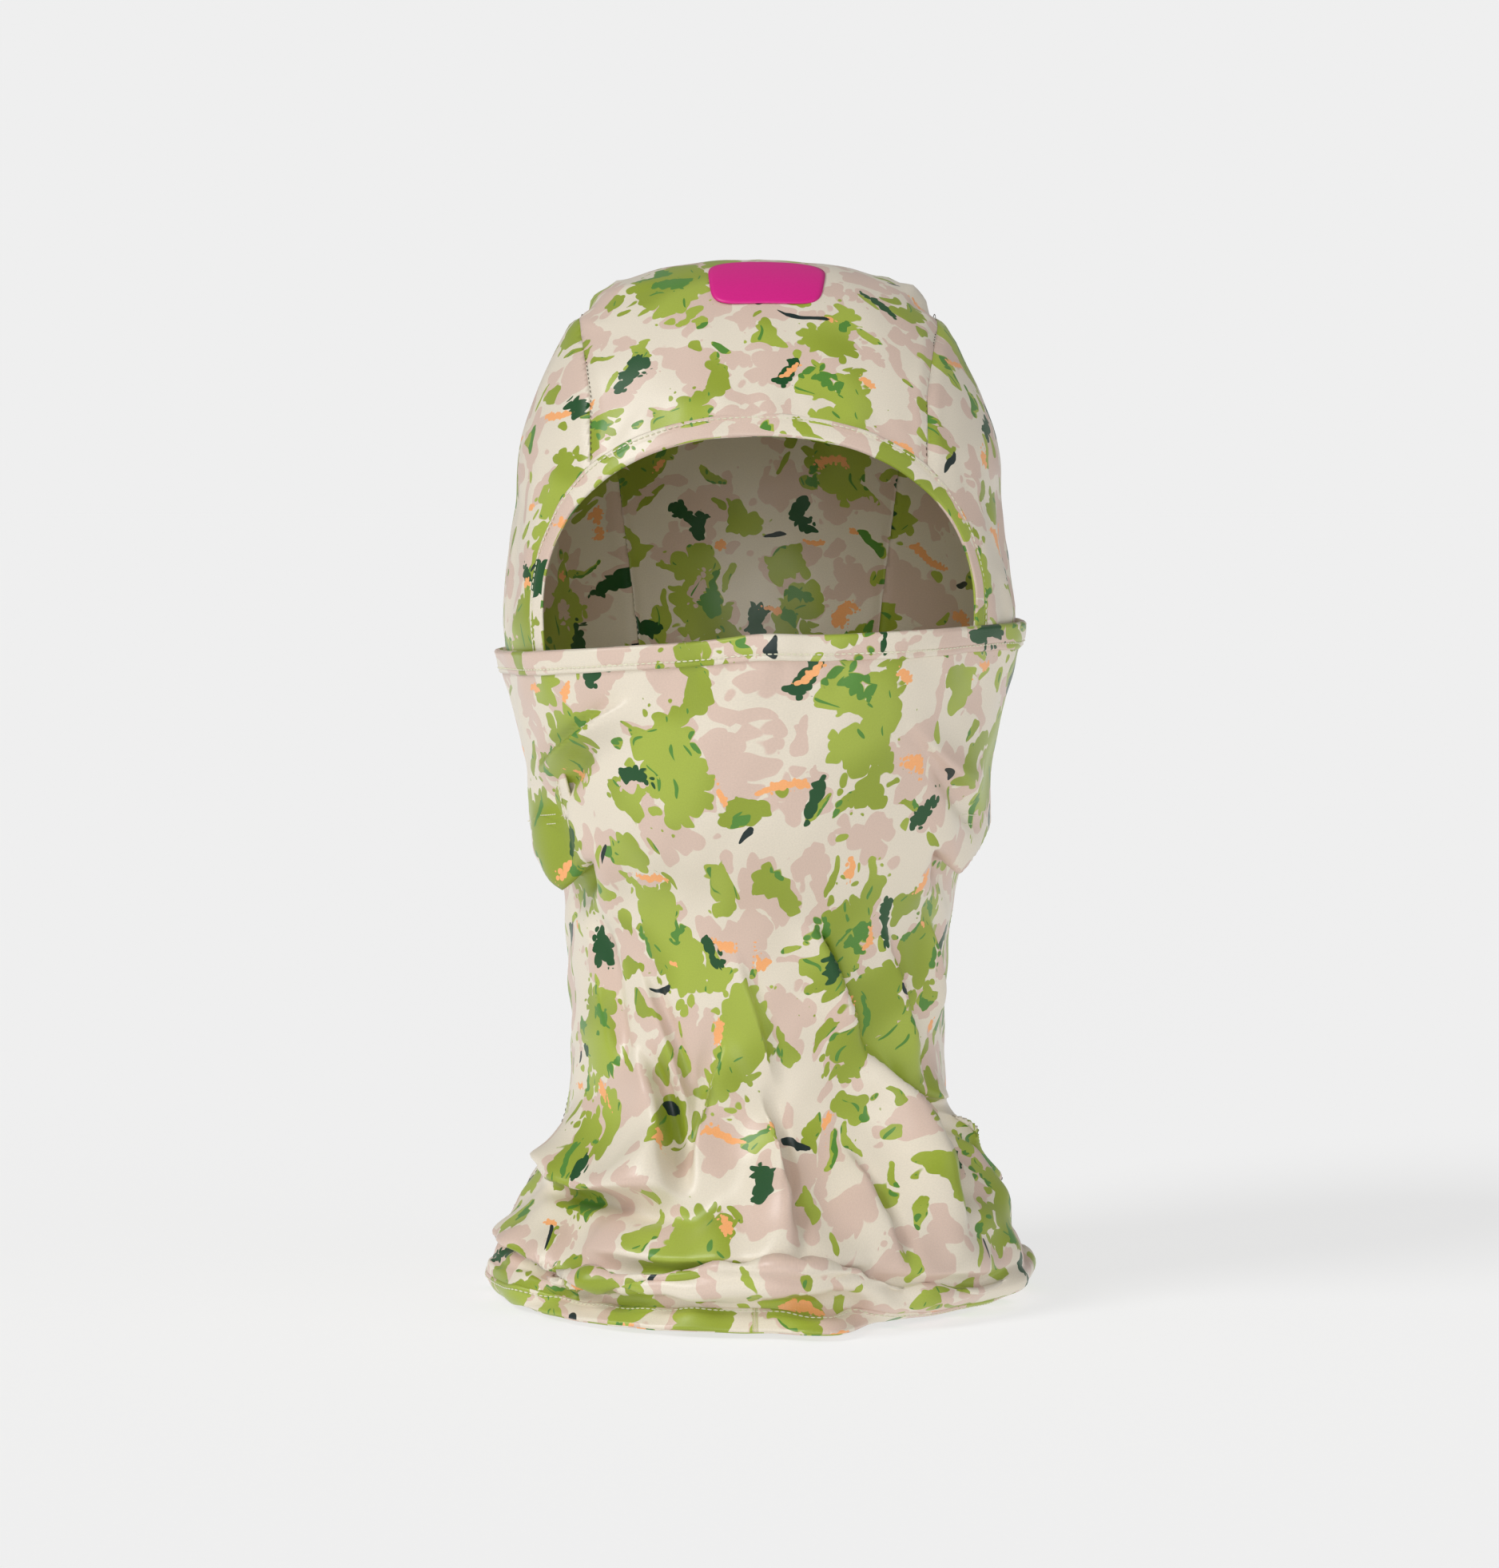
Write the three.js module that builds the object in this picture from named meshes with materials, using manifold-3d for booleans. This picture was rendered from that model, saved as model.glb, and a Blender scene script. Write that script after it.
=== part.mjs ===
// A hinged balaclava in printed jersey, standing on a table.
// Units are millimetres. +Z is up, the wearer faces -Y and +X is on the viewer's right.
// The origin is on the table, under the middle of the object.
import * as THREE from "three";
import { mergeVertices } from "three/addons/utils/BufferGeometryUtils.js";
import Module from "manifold-3d";

const wasm = await Module();
wasm.setup();

// ---- Driving dimensions ----

// Heights, from the table upwards.
const baseRollHeight = 20;      // table to the widest part of the crumpled base
const collarHeight = 58;        // base roll to the start of the straight neck
const neckHeight = 47;          // the straight part of the neck
const chinHeight = 55;          // neck to the jaw
const maskHeight = 68;          // jaw to the mask's top edge
const faceHeight = 70;          // mask's top edge to the top of the face opening
const crownHeight = 70;         // top of the face opening to the top of the crown

// Widths and depths of the cloth. Front and back are measured from the middle plane.
const foot = { width: 188, front: 78, back: 90 };
const base = { width: 199, front: 82, back: 94 };
const neck = { width: 138, front: 62.5, back: 77 };
const jaw = { width: 163, front: 89, back: 88 };
const cheek = { width: 190, front: 102, back: 104.5 };
const temple = { width: 175, front: 84, back: 100 };
const crownCorner = { width: 130, front: 52, back: 66 };

// Cloth, hems and thread.
const clothThickness = 1;
const hemThickness = 1.4;
const maskHemThickness = 1.6;
const threadThickness = 0.5;
const threadWidth = 0.8;
const seamWidth = 1.6;
const printThickness = 0.4;
const seatGap = 0.3;            // between two pieces that are sewn or laid on each other

// Face opening.
const openingSideInset = 17;    // side of the cheeks to the opening's edge, seen from the front
const openingJawInset = 15.5;   // the same at the jaw
const openingArchRise = 60;     // from the widest place to the top of the arch
const faceHemWidth = 8.5;
const sideForeshortening = 0.55; // front view share of a width measured round the temples
const faceStitchInset = 6.4;    // opening's edge to the stitch row

// Seams.
const crownSeamFront = 61;      // half the crown panel's width at the forehead
const crownSeamTop = 67;        // and at its widest, over the crown
const crownSeamNape = 42;       // and at the nape
const napeDrop = 35;            // how much lower the hood ends at the nape than at the jaw
const sideSeamPlane = 12;       // the neck's side seams lie in this plane of Y

// Mask.
const maskHemWidth = 9;
const maskStitchInset = 7.6;    // mask's top edge to the stitch row
const maskDepthBelowJaw = 16;   // how far the mask reaches below the jaw
const maskBackEdge = 30;        // the mask's side edges lie in this plane of Y
const sideHemWidth = 6;
const tackLength = 9;
const tackWidth = 2.2;
const tackInset = 7.5;          // side of the jaw to the middle of each bar tack

// Bottom hem: a strip turned outwards, flat on the table.
const bottomHemThickness = 2;
const bottomHemInside = 4;
const bottomHemOutside = 5;
const bottomStitchInset = 2;    // hem's outer edge to the stitch row

// Printed lozenge on the crown.
const printWidth = 42;
const printLength = 34;
const printCorner = 5;
const printCentre = { x: 3, y: -36 };

// Smoothness of the faceted cloth.
const aroundSteps = 36;
const stepsPerStation = 2;

// ---- Values worked out from the sizes above ----

const neckStart = baseRollHeight + collarHeight;
const neckEnd = neckStart + neckHeight;
const jawLevel = neckEnd + chinHeight;
const maskTop = jawLevel + maskHeight;
const browLevel = maskTop + faceHeight;
const crownTop = browLevel + crownHeight;
const maskBottom = jawLevel - maskDepthBelowJaw;
const openingWidest = browLevel - openingArchRise;

// Layers, as distances outside the hood's outer face.
const hemFace = hemThickness - clothThickness;
const faceThread = layer(hemFace, threadThickness);
const seamThread = layer(0, threadThickness);
const maskInside = faceThread.outside + seatGap;
const maskFace = maskInside + clothThickness;
const maskHemFace = maskInside + maskHemThickness;
const maskThread = layer(maskHemFace, threadThickness);
const tackThread = layer(maskFace, threadThickness);

const reach = 2 * (cheek.width + crownTop);     // longer than any cut needs to be
const pastTable = 3;                            // how far the cloth form runs below the table
const cutOverlap = 1;                           // where two halves of one cut run into each other

// ---- Shapes ----

// A layer laid on a face, with the gap that separate pieces keep.
function layer(face, thickness) {
  return { inside: face + seatGap, outside: face + seatGap + thickness };
}

// One horizontal section of the cloth form.
function station(z, size) {
  return { z, side: size.width / 2, front: size.front, back: size.back };
}

// The section a given share of the way from one size to another.
function between(z, from, to, share) {
  return station(z, {
    width: THREE.MathUtils.lerp(from.width, to.width, share),
    front: THREE.MathUtils.lerp(from.front, to.front, share),
    back: THREE.MathUtils.lerp(from.back, to.back, share),
  });
}

// A height between two levels.
function level(from, to, share) {
  return THREE.MathUtils.lerp(from, to, share);
}

const apex = { width: 0, front: 0, back: 0 };
const stations = [
  station(-pastTable, foot),
  station(0, foot),
  station(baseRollHeight, base),
  between(level(baseRollHeight, neckStart, 0.6), base, neck, 0.68),
  station(neckStart, neck),
  station(neckEnd, neck),
  between(level(neckEnd, jawLevel, 0.4), neck, jaw, 0.34),
  station(jawLevel, jaw),
  between(level(jawLevel, maskTop, 0.48), jaw, cheek, 0.42),
  station(maskTop, cheek),
  between(level(maskTop, browLevel, 0.45), cheek, temple, 0.3),
  station(browLevel, temple),
  between(level(browLevel, crownTop, 0.4), temple, crownCorner, 0.42),
  station(level(browLevel, crownTop, 0.7), crownCorner),
  between(level(browLevel, crownTop, 0.87), crownCorner, apex, 0.28),
  between(level(browLevel, crownTop, 0.97), crownCorner, apex, 0.68),
  station(crownTop, apex),
];

// Smooth outlines of the form, seen from the front and from the side.
function outline(measure) {
  return new THREE.SplineCurve(stations.map((s) => new THREE.Vector2(s[measure], s.z)));
}
const sideOutline = outline("side");
const frontOutline = outline("front");
const backOutline = outline("back");

// A boolean solid from a closed geometry.
function toSolid(geometry) {
  geometry.deleteAttribute("normal");
  geometry.deleteAttribute("uv");
  const merged = mergeVertices(geometry, 1e-4);
  const index = merged.index.array;
  const triangles = [];
  for (let i = 0; i < index.length; i += 3) {
    const [a, b, c] = [index[i], index[i + 1], index[i + 2]];
    if (a !== b && b !== c && c !== a) triangles.push(a, b, c);
  }
  return new wasm.Manifold(new wasm.Mesh({
    numProp: 3,
    vertProperties: new Float32Array(merged.attributes.position.array),
    triVerts: new Uint32Array(triangles),
  }));
}

// The whole cloth form, grown outwards (or inwards, if negative) by a distance.
function form(grow) {
  const rings = (stations.length - 1) * stepsPerStation;
  const profile = [new THREE.Vector2(0, 0)];
  for (let i = 0; i < rings; i += 1) profile.push(new THREE.Vector2(1, i));
  profile.push(new THREE.Vector2(0, rings));
  const geometry = new THREE.LatheGeometry(profile, aroundSteps);
  geometry.rotateX(Math.PI / 2);
  const place = geometry.attributes.position;
  for (let i = 0; i < place.count; i += 1) {
    const share = THREE.MathUtils.clamp(place.getZ(i) / rings, 0, 1);
    const side = sideOutline.getPoint(share);
    const depth = place.getY(i) < 0 ? frontOutline : backOutline;
    const lift = grow * THREE.MathUtils.smoothstep(side.y, browLevel, crownTop);
    place.setXYZ(
      i,
      place.getX(i) * (side.x + grow),
      place.getY(i) * (depth.getPoint(share).x + grow),
      side.y + lift,
    );
  }
  return toSolid(geometry);
}

// The skin between two distances outside the cloth form.
function skin(inside, outside) {
  return form(outside).subtract(form(inside));
}

// A box given by its low and high corners.
function box(low, high) {
  const size = high.map((value, i) => value - low[i]);
  const centre = high.map((value, i) => (value + low[i]) / 2);
  return toSolid(new THREE.BoxGeometry(...size).translate(...centre));
}

// Everything between two heights.
function slab(low, high) {
  return box([-reach, -reach, low], [reach, reach, high]);
}

// One side of the middle plane: -1 is left, +1 is right.
function sideOf(sign) {
  const edges = [0, sign * reach].sort((a, b) => a - b);
  return box([edges[0], -reach, -reach], [edges[1], reach, reach]);
}

// An outline in X and Z, run along Y between two places.
function alongY(shape, from, to) {
  const geometry = new THREE.ExtrudeGeometry(shape, {
    depth: to - from,
    bevelEnabled: false,
    curveSegments: 20,
  });
  geometry.rotateX(Math.PI / 2);
  geometry.translate(0, to, 0);
  return toSolid(geometry);
}

// The face opening, made wider all round by a distance.
function openingCut(extra) {
  const spread = extra * sideForeshortening;
  const side = cheek.width / 2 - openingSideInset + spread;
  const atJaw = jaw.width / 2 - openingJawInset + spread;
  const shape = new THREE.Shape();
  shape.moveTo(-atJaw, neckEnd);
  shape.lineTo(atJaw, neckEnd);
  shape.lineTo(atJaw, jawLevel);
  shape.lineTo(side, openingWidest);
  shape.absellipse(0, openingWidest, side, openingArchRise + extra, 0, Math.PI, false, 0);
  shape.lineTo(-atJaw, jawLevel);
  shape.closePath();
  return alongY(shape, -reach, 0);
}

// The crown panel's cut, made wider on both sides by a distance.
function crownCut(extra) {
  const top = crownTop + reach;
  const front = new THREE.Shape();
  const back = new THREE.Shape();
  const frontEdge = [
    [crownSeamFront, openingWidest],
    [crownSeamFront, browLevel],
    [crownSeamTop, level(browLevel, crownTop, 0.7)],
    [crownSeamTop, top],
  ];
  const backEdge = [
    [crownSeamNape, 0],
    [crownSeamNape, jawLevel - napeDrop],
    [crownSeamTop, level(browLevel, crownTop, 0.4)],
    [crownSeamTop, top],
  ];
  for (const [shape, edge] of [[front, frontEdge], [back, backEdge]]) {
    const right = edge.map(([x, z]) => new THREE.Vector2(x + extra, z));
    const left = edge.map(([x, z]) => new THREE.Vector2(-x - extra, z)).reverse();
    shape.setFromPoints([...right, ...left]);
  }
  return alongY(front, -reach, cutOverlap).add(alongY(back, -cutOverlap, reach));
}

// Everything above the sloping edge where the hood meets the neck, raised by a distance.
function aboveNape(raise) {
  const slope = napeDrop / (jaw.front + jaw.back);
  const shape = new THREE.Shape();
  const edgeAt = (y) => jawLevel - slope * (y + jaw.front / 2) + raise;
  shape.moveTo(-reach, edgeAt(-reach));
  shape.lineTo(reach, edgeAt(reach));
  shape.lineTo(reach, edgeAt(-reach) + reach);
  shape.lineTo(-reach, edgeAt(-reach) + reach);
  shape.closePath();
  const geometry = new THREE.ExtrudeGeometry(shape, { depth: 2 * reach, bevelEnabled: false });
  geometry.rotateX(Math.PI / 2);
  geometry.rotateZ(Math.PI / 2);
  geometry.translate(-reach, 0, 0);
  return toSolid(geometry);
}

// ---- Hood ----

const halfGap = seatGap / 2;
const cloth = skin(-clothThickness, 0);
const hoodCloth = cloth.intersect(aboveNape(halfGap));
const faceCut = openingCut(faceHemWidth + seatGap);

function crownPanel() {
  return hoodCloth.intersect(crownCut(-halfGap)).subtract(faceCut);
}

function sidePanel(sign) {
  return hoodCloth.subtract(crownCut(halfGap)).subtract(faceCut).intersect(sideOf(sign));
}

function crownSeam(sign) {
  const line = crownCut(seamWidth / 2).subtract(crownCut(-seamWidth / 2));
  return skin(seamThread.inside, seamThread.outside)
    .intersect(line)
    .intersect(aboveNape(seamWidth))
    .subtract(faceCut)
    .intersect(sideOf(sign));
}

function faceOpeningHem() {
  return skin(-clothThickness, hemFace)
    .intersect(openingCut(faceHemWidth))
    .subtract(openingCut(0))
    .intersect(aboveNape(halfGap));
}

function faceHemStitching() {
  const line = openingCut(faceStitchInset + threadWidth / 2)
    .subtract(openingCut(faceStitchInset - threadWidth / 2));
  return skin(faceThread.inside, faceThread.outside)
    .intersect(line)
    .intersect(aboveNape(halfGap));
}

// A lozenge with rounded corners, laid on the crown.
function crownTransferPrint() {
  const corners = [
    [printWidth / 2, 0],
    [0, printLength / 2],
    [-printWidth / 2, 0],
    [0, -printLength / 2],
  ].map(([x, y]) => new THREE.Vector2(x, y));
  const shape = new THREE.Shape();
  corners.forEach((corner, i) => {
    const before = corners[(i + 3) % 4].clone().sub(corner).setLength(printCorner).add(corner);
    const after = corners[(i + 1) % 4].clone().sub(corner).setLength(printCorner).add(corner);
    if (i === 0) shape.moveTo(before.x, before.y);
    else shape.lineTo(before.x, before.y);
    shape.quadraticCurveTo(corner.x, corner.y, after.x, after.y);
  });
  const geometry = new THREE.ExtrudeGeometry(shape, {
    depth: crownHeight,
    bevelEnabled: false,
    curveSegments: 4,
  });
  geometry.translate(printCentre.x, printCentre.y, browLevel);
  geometry.translate(0, 0, crownHeight / 2);
  return skin(seatGap, seatGap + printThickness).intersect(toSolid(geometry));
}

// ---- Neck ----

const neckCloth = cloth
  .subtract(aboveNape(-halfGap))
  .intersect(slab(bottomHemThickness + seatGap, reach));

function neckPanel(sign) {
  const seam = sideSeamPlane + sign * halfGap;
  const edges = [seam, sign * reach].sort((a, b) => a - b);
  return neckCloth.intersect(box([-reach, edges[0], -reach], [reach, edges[1], reach]));
}

function neckSideSeam(sign) {
  const low = bottomHemThickness + seatGap;
  const half = seamWidth / 2;
  const line = box([-reach, sideSeamPlane - half, low], [reach, sideSeamPlane + half, reach]);
  return skin(seamThread.inside, seamThread.outside)
    .intersect(line)
    .subtract(aboveNape(-seamWidth))
    .intersect(sideOf(sign));
}

function napeSeam() {
  const half = seamWidth / 2;
  return skin(seamThread.inside, seamThread.outside)
    .intersect(aboveNape(-half))
    .subtract(aboveNape(half))
    .subtract(openingCut(faceHemWidth));
}

function bottomHem() {
  return skin(-bottomHemInside, bottomHemOutside).intersect(slab(0, bottomHemThickness));
}

function bottomHemStitching() {
  const middle = bottomHemOutside - bottomStitchInset;
  const low = bottomHemThickness + seatGap;
  return skin(middle - threadWidth / 2, middle + threadWidth / 2)
    .intersect(slab(low, low + threadThickness));
}

// ---- Mask ----

const aheadOfMaskEdge = box([-reach, -reach, -reach], [reach, maskBackEdge, reach]);
const aheadOfSideHem = box(
  [-reach, -reach, -reach],
  [reach, maskBackEdge - sideHemWidth - seatGap, reach],
);

function maskPanel() {
  return skin(maskInside, maskFace)
    .intersect(slab(maskBottom, maskTop - maskHemWidth - seatGap))
    .intersect(aheadOfSideHem);
}

function maskTopHem() {
  return skin(maskInside, maskHemFace)
    .intersect(slab(maskTop - maskHemWidth, maskTop))
    .intersect(aheadOfMaskEdge);
}

function maskHemStitching() {
  const middle = maskTop - maskStitchInset;
  return skin(maskThread.inside, maskThread.outside)
    .intersect(slab(middle - threadWidth / 2, middle + threadWidth / 2))
    .intersect(aheadOfMaskEdge);
}

function maskSideHem(sign) {
  return skin(maskInside, maskHemFace)
    .intersect(slab(maskBottom, maskTop - maskHemWidth - seatGap))
    .intersect(aheadOfMaskEdge)
    .subtract(box([-reach, -reach, -reach], [reach, maskBackEdge - sideHemWidth, reach]))
    .intersect(sideOf(sign));
}

function hingeTack(sign) {
  const middle = sign * (jaw.width / 2 - tackInset);
  return skin(tackThread.inside, tackThread.outside)
    .intersect(box(
      [middle - tackLength / 2, -reach, jawLevel - tackWidth / 2],
      [middle + tackLength / 2, 0, jawLevel + tackWidth / 2],
    ));
}

// ---- The scene graph ----

const finishes = {
  jersey: { color: 0xe9e2d2, roughness: 0.62, metalness: 0 },
  hem: { color: 0xe3d3c6, roughness: 0.66, metalness: 0 },
  seam: { color: 0x6f6a58, roughness: 0.8, metalness: 0 },
  thread: { color: 0xd9dcc0, roughness: 0.6, metalness: 0 },
  print: { color: 0xe0148c, roughness: 0.5, metalness: 0 },
};

const balaclava = new THREE.Group();

function addNode(name, solid, finish) {
  const mesh = solid.getMesh();
  const geometry = new THREE.BufferGeometry();
  geometry.setAttribute("position", new THREE.BufferAttribute(mesh.vertProperties, 3));
  geometry.setIndex(new THREE.BufferAttribute(mesh.triVerts, 1));
  const node = new THREE.Mesh(geometry, new THREE.MeshStandardMaterial(finishes[finish]));
  node.name = name;
  balaclava.add(node);
}

addNode("crown_panel", crownPanel(), "jersey");
addNode("face_opening_hem", faceOpeningHem(), "hem");
addNode("face_hem_stitching", faceHemStitching(), "thread");
addNode("crown_transfer_print", crownTransferPrint(), "print");
addNode("neck_front_panel", neckPanel(-1), "jersey");
addNode("neck_back_panel", neckPanel(1), "jersey");
addNode("nape_seam", napeSeam(), "seam");
addNode("bottom_hem", bottomHem(), "hem");
addNode("bottom_hem_stitching", bottomHemStitching(), "thread");
addNode("mask_panel", maskPanel(), "jersey");
addNode("mask_top_hem", maskTopHem(), "hem");
addNode("mask_hem_stitching", maskHemStitching(), "thread");
for (const [side, sign] of [["left", -1], ["right", 1]]) {
  addNode(`${side}_side_panel`, sidePanel(sign), "jersey");
  addNode(`crown_seam_${side}`, crownSeam(sign), "seam");
  addNode(`neck_side_seam_${side}`, neckSideSeam(sign), "seam");
  addNode(`mask_side_hem_${side}`, maskSideHem(sign), "hem");
  addNode(`hinge_tack_${side}`, hingeTack(sign), "thread");
}

export default balaclava;
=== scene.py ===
"""A hinged balaclava in printed jersey, standing on a table as if on a head form.

Lengths are in metres, in the CAD model's own frame: +Z is up and the face looks along -Y.
Angles round the cloth start at the front and grow towards +X.
"""
import math

import bpy
import numpy as np
from mathutils import Matrix, Vector


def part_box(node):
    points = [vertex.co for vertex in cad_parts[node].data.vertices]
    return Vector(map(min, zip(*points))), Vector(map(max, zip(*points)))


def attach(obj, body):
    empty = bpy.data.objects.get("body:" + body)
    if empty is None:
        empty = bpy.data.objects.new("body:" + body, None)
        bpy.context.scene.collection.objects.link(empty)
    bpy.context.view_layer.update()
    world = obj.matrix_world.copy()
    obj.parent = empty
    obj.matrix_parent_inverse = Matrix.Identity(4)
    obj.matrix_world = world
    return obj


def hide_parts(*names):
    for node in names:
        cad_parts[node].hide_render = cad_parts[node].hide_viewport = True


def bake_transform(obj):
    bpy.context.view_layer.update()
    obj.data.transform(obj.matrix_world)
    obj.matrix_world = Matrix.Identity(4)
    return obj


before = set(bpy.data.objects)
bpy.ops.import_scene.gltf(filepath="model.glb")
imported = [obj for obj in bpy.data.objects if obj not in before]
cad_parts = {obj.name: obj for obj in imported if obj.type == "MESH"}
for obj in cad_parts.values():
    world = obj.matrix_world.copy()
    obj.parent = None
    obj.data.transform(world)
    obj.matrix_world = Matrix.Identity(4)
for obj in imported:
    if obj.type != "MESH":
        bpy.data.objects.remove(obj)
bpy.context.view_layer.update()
scene = bpy.context.scene
MM = 0.001

# ---- Heights and levels, from the frame ----
crown_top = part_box("crown_panel")[1].z
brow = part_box("face_opening_hem")[1].z - 6 * MM
mask_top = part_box("mask_top_hem")[1].z
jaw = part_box("hinge_tack_left")[0].z + 1.1 * MM

# ---- Camera ----
CAMERA_DISTANCE = 1.7
CAMERA_TILT = math.radians(3.7)
VIEW_HEIGHT = 0.5886            # height of the view at the object's middle plane
VIEW_CENTRE = Vector((-0.0033, 0.0, 0.1911))


def add_camera():
    data = bpy.data.cameras.new("camera")
    data.sensor_fit = "VERTICAL"
    data.sensor_height = 36
    data.lens = data.sensor_height * CAMERA_DISTANCE / VIEW_HEIGHT
    camera = bpy.data.objects.new("camera", data)
    away = Vector((0, -math.cos(CAMERA_TILT), math.sin(CAMERA_TILT)))
    camera.location = VIEW_CENTRE + CAMERA_DISTANCE * away
    camera.rotation_euler = (math.pi / 2 - CAMERA_TILT, 0, 0)
    scene.collection.objects.link(camera)
    scene.camera = camera


# ---- Small tools ----
def smooth(x, low, high):
    """Rises smoothly from 0 at low to 1 at high."""
    t = np.clip((x - low) / (high - low), 0, 1)
    return t * t * (3 - 2 * t)


def bump(x, centre, width):
    return np.exp(-(((x - centre) / width) ** 2))


def unit(vectors):
    return vectors / np.maximum(np.linalg.norm(vectors, axis=-1, keepdims=True), 1e-12)


def rounded(turn, power):
    """Cosine and sine, on a rounded square where the power is below 1."""
    return [np.sign(v) * np.abs(v) ** power for v in (np.cos(turn), np.sin(turn))]


def through(points, count, closed=False):
    """A smooth curve (Catmull-Rom) through a grid's first axis, count steps per interval."""
    points = np.asarray(points, float)
    if closed:
        padded = np.concatenate([points[-1:], points, points[:2]])
        spans = len(points)
    else:
        first = 2 * points[:1] - points[1:2]
        last = 2 * points[-1:] - points[-2:-1]
        padded = np.concatenate([first, points, last])
        spans = len(points) - 1
    rows = []
    for i in range(spans):
        a, b, c, d = padded[i:i + 4]
        for k in range(count):
            t = k / count
            rows.append(0.5 * (2 * b + (c - a) * t + (2 * a - 5 * b + 4 * c - d) * t * t
                               + (3 * b - a - 3 * c + d) * t ** 3))
    if not closed:
        rows.append(points[-1])
    return np.array(rows)


def waves(place, size, seed):
    """Gentle random waves of about that size over points in space, from -1 to 1."""
    rng = np.random.default_rng(seed)
    total = np.zeros(place.shape[:-1])
    for _ in range(7):
        direction = rng.normal(size=3)
        direction *= 2 * math.pi / (size * rng.uniform(0.7, 1.5)) / np.linalg.norm(direction)
        total += np.sin(place @ direction + rng.uniform(0, 2 * math.pi))
    return total / math.sqrt(7)


def normals_of(grid, closed=False):
    """Unit normals of a grid of points, pointing away from the upright middle line."""
    if closed:
        along = np.roll(grid, -1, 0) - np.roll(grid, 1, 0)
    else:
        along = np.gradient(grid, axis=0)
    normal = unit(np.cross(along, np.gradient(grid, axis=1)))
    return -normal if (normal[..., :2] * grid[..., :2]).sum() < 0 else normal


def resampled(grid, count):
    """The grid's second axis moved to that many even steps."""
    at = np.linspace(0, grid.shape[1] - 1, count)
    low = np.clip(at.astype(int), 0, grid.shape[1] - 2)
    part = (at - low)[None, :, None]
    return grid[:, low] * (1 - part) + grid[:, low + 1] * part


def lengths(path):
    """How far each point of a path is along it."""
    return np.concatenate([[0], np.cumsum(np.linalg.norm(np.diff(path, axis=0), axis=1))])


def even(path, step):
    """The path's points moved to an even spacing."""
    far = lengths(path)
    at = np.linspace(0, far[-1], max(2, int(round(far[-1] / step)) + 1))
    return np.stack([np.interp(at, far, path[:, k]) for k in range(path.shape[1])], 1)


# ---- The form that the cloth hangs on ----
# Height, half width, front and back in millimetres, from the table up.
FORM = (
    (-4, 72, 66, 78),
    (60, 71, 65, 78),
    (95, 69.5, 63, 77),
    (125, 69, 62.5, 77),
    (143, 72.5, 70, 79),
    (160, 76.5, 80, 83),
    (180, 81, 89, 88),
    (202, 84.5, 94.5, 94),
    (224, 89.5, 99, 100),
    (248, 95.3, 102, 104.5),
    (272, 94, 98.5, 106),
    (296, 90.5, 91.5, 104),
    (318, 88.5, 84, 100),
    (341, 80.5, 72, 88),
    (360, 71, 58, 72),
    (372, 61, 45, 57),
    (380, 47, 32, 42),
    (385.5, 27, 18, 24),
    (388, 0, 0, 0),
)
profile = through(np.array(FORM) * MM, 60)
FRONT_ROUND = 0.86              # below 1 the section is squarer than an ellipse
BACK_ROUND = 0.96
HEAD_CENTRE = np.array([0, 4, 248]) * MM
RAY = 0.3                       # longer than any line from the head's middle to the form


def reach(z):
    """Half width, front and back of the form at a height."""
    return [np.interp(z, profile[:, 0], profile[:, k]) for k in (1, 2, 3)]


def squareness(z, front):
    """How round the section is: squarer over the face, round at the neck and the crown."""
    face = smooth(z, 0.15, 0.2) * (1 - smooth(z, 0.34, 0.38))
    return 1 - face * np.where(front, 1 - FRONT_ROUND, 1 - BACK_ROUND)


def on_form(angle, z, grow=0.0):
    """Points on the form at angles and heights, or that far outside it."""
    side, front, back = reach(z)
    ahead = np.cos(angle) > 0
    power = squareness(z, ahead)
    depth = np.where(ahead, front, back) + grow
    ahead_share, side_share = rounded(angle, power)
    x = (side + grow) * side_share
    return np.stack([x, -depth * ahead_share, z + 0 * x], axis=-1)


def inside_form(point):
    side, front, back = reach(point[..., 2])
    ahead = point[..., 1] < 0
    power = 2 / squareness(point[..., 2], ahead)
    depth = np.where(ahead, front, back)
    size = ((np.abs(point[..., 0]) / np.maximum(side, 1e-6)) ** power
            + (np.abs(point[..., 1]) / np.maximum(depth, 1e-6)) ** power)
    return (size < 1) & (point[..., 2] < crown_top)


def cast(start, direction):
    """Where rays from inside the form leave it."""
    low = np.zeros(direction.shape[:-1])
    high = np.full(direction.shape[:-1], RAY)
    for _ in range(36):
        middle = (low + high) / 2
        within = inside_form(start + middle[..., None] * direction)
        low = np.where(within, middle, low)
        high = np.where(within, high, middle)
    return start + low[..., None] * direction


def on_skin(point, lift=0.0):
    """The point moved along its line from the head's middle onto the form."""
    away = unit(point - HEAD_CENTRE)
    return cast(HEAD_CENTRE, away) + lift * away


def face_point(x, z):
    """The point on the front of the form that is at x and z."""
    side, front, _ = reach(z)
    power = squareness(z, True)
    share = np.clip(np.abs(x) / side, 0, 1)
    y = -front * np.clip(1 - share ** (2 / power), 0, 1) ** (power / 2)
    return np.stack([x, y, z + 0 * x], axis=-1)


# ---- Meshes ----
CLOTH = 0.7 * MM


def link(name, mesh):
    obj = bpy.data.objects.new(name, mesh)
    scene.collection.objects.link(obj)
    return obj


def applied(obj):
    """The object with its modifiers made real."""
    graph = bpy.context.evaluated_depsgraph_get()
    mesh = bpy.data.meshes.new_from_object(obj.evaluated_get(graph))
    old = obj.data
    obj.modifiers.clear()
    obj.data = mesh
    mesh.name = obj.name
    bpy.data.meshes.remove(old)
    return obj


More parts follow.
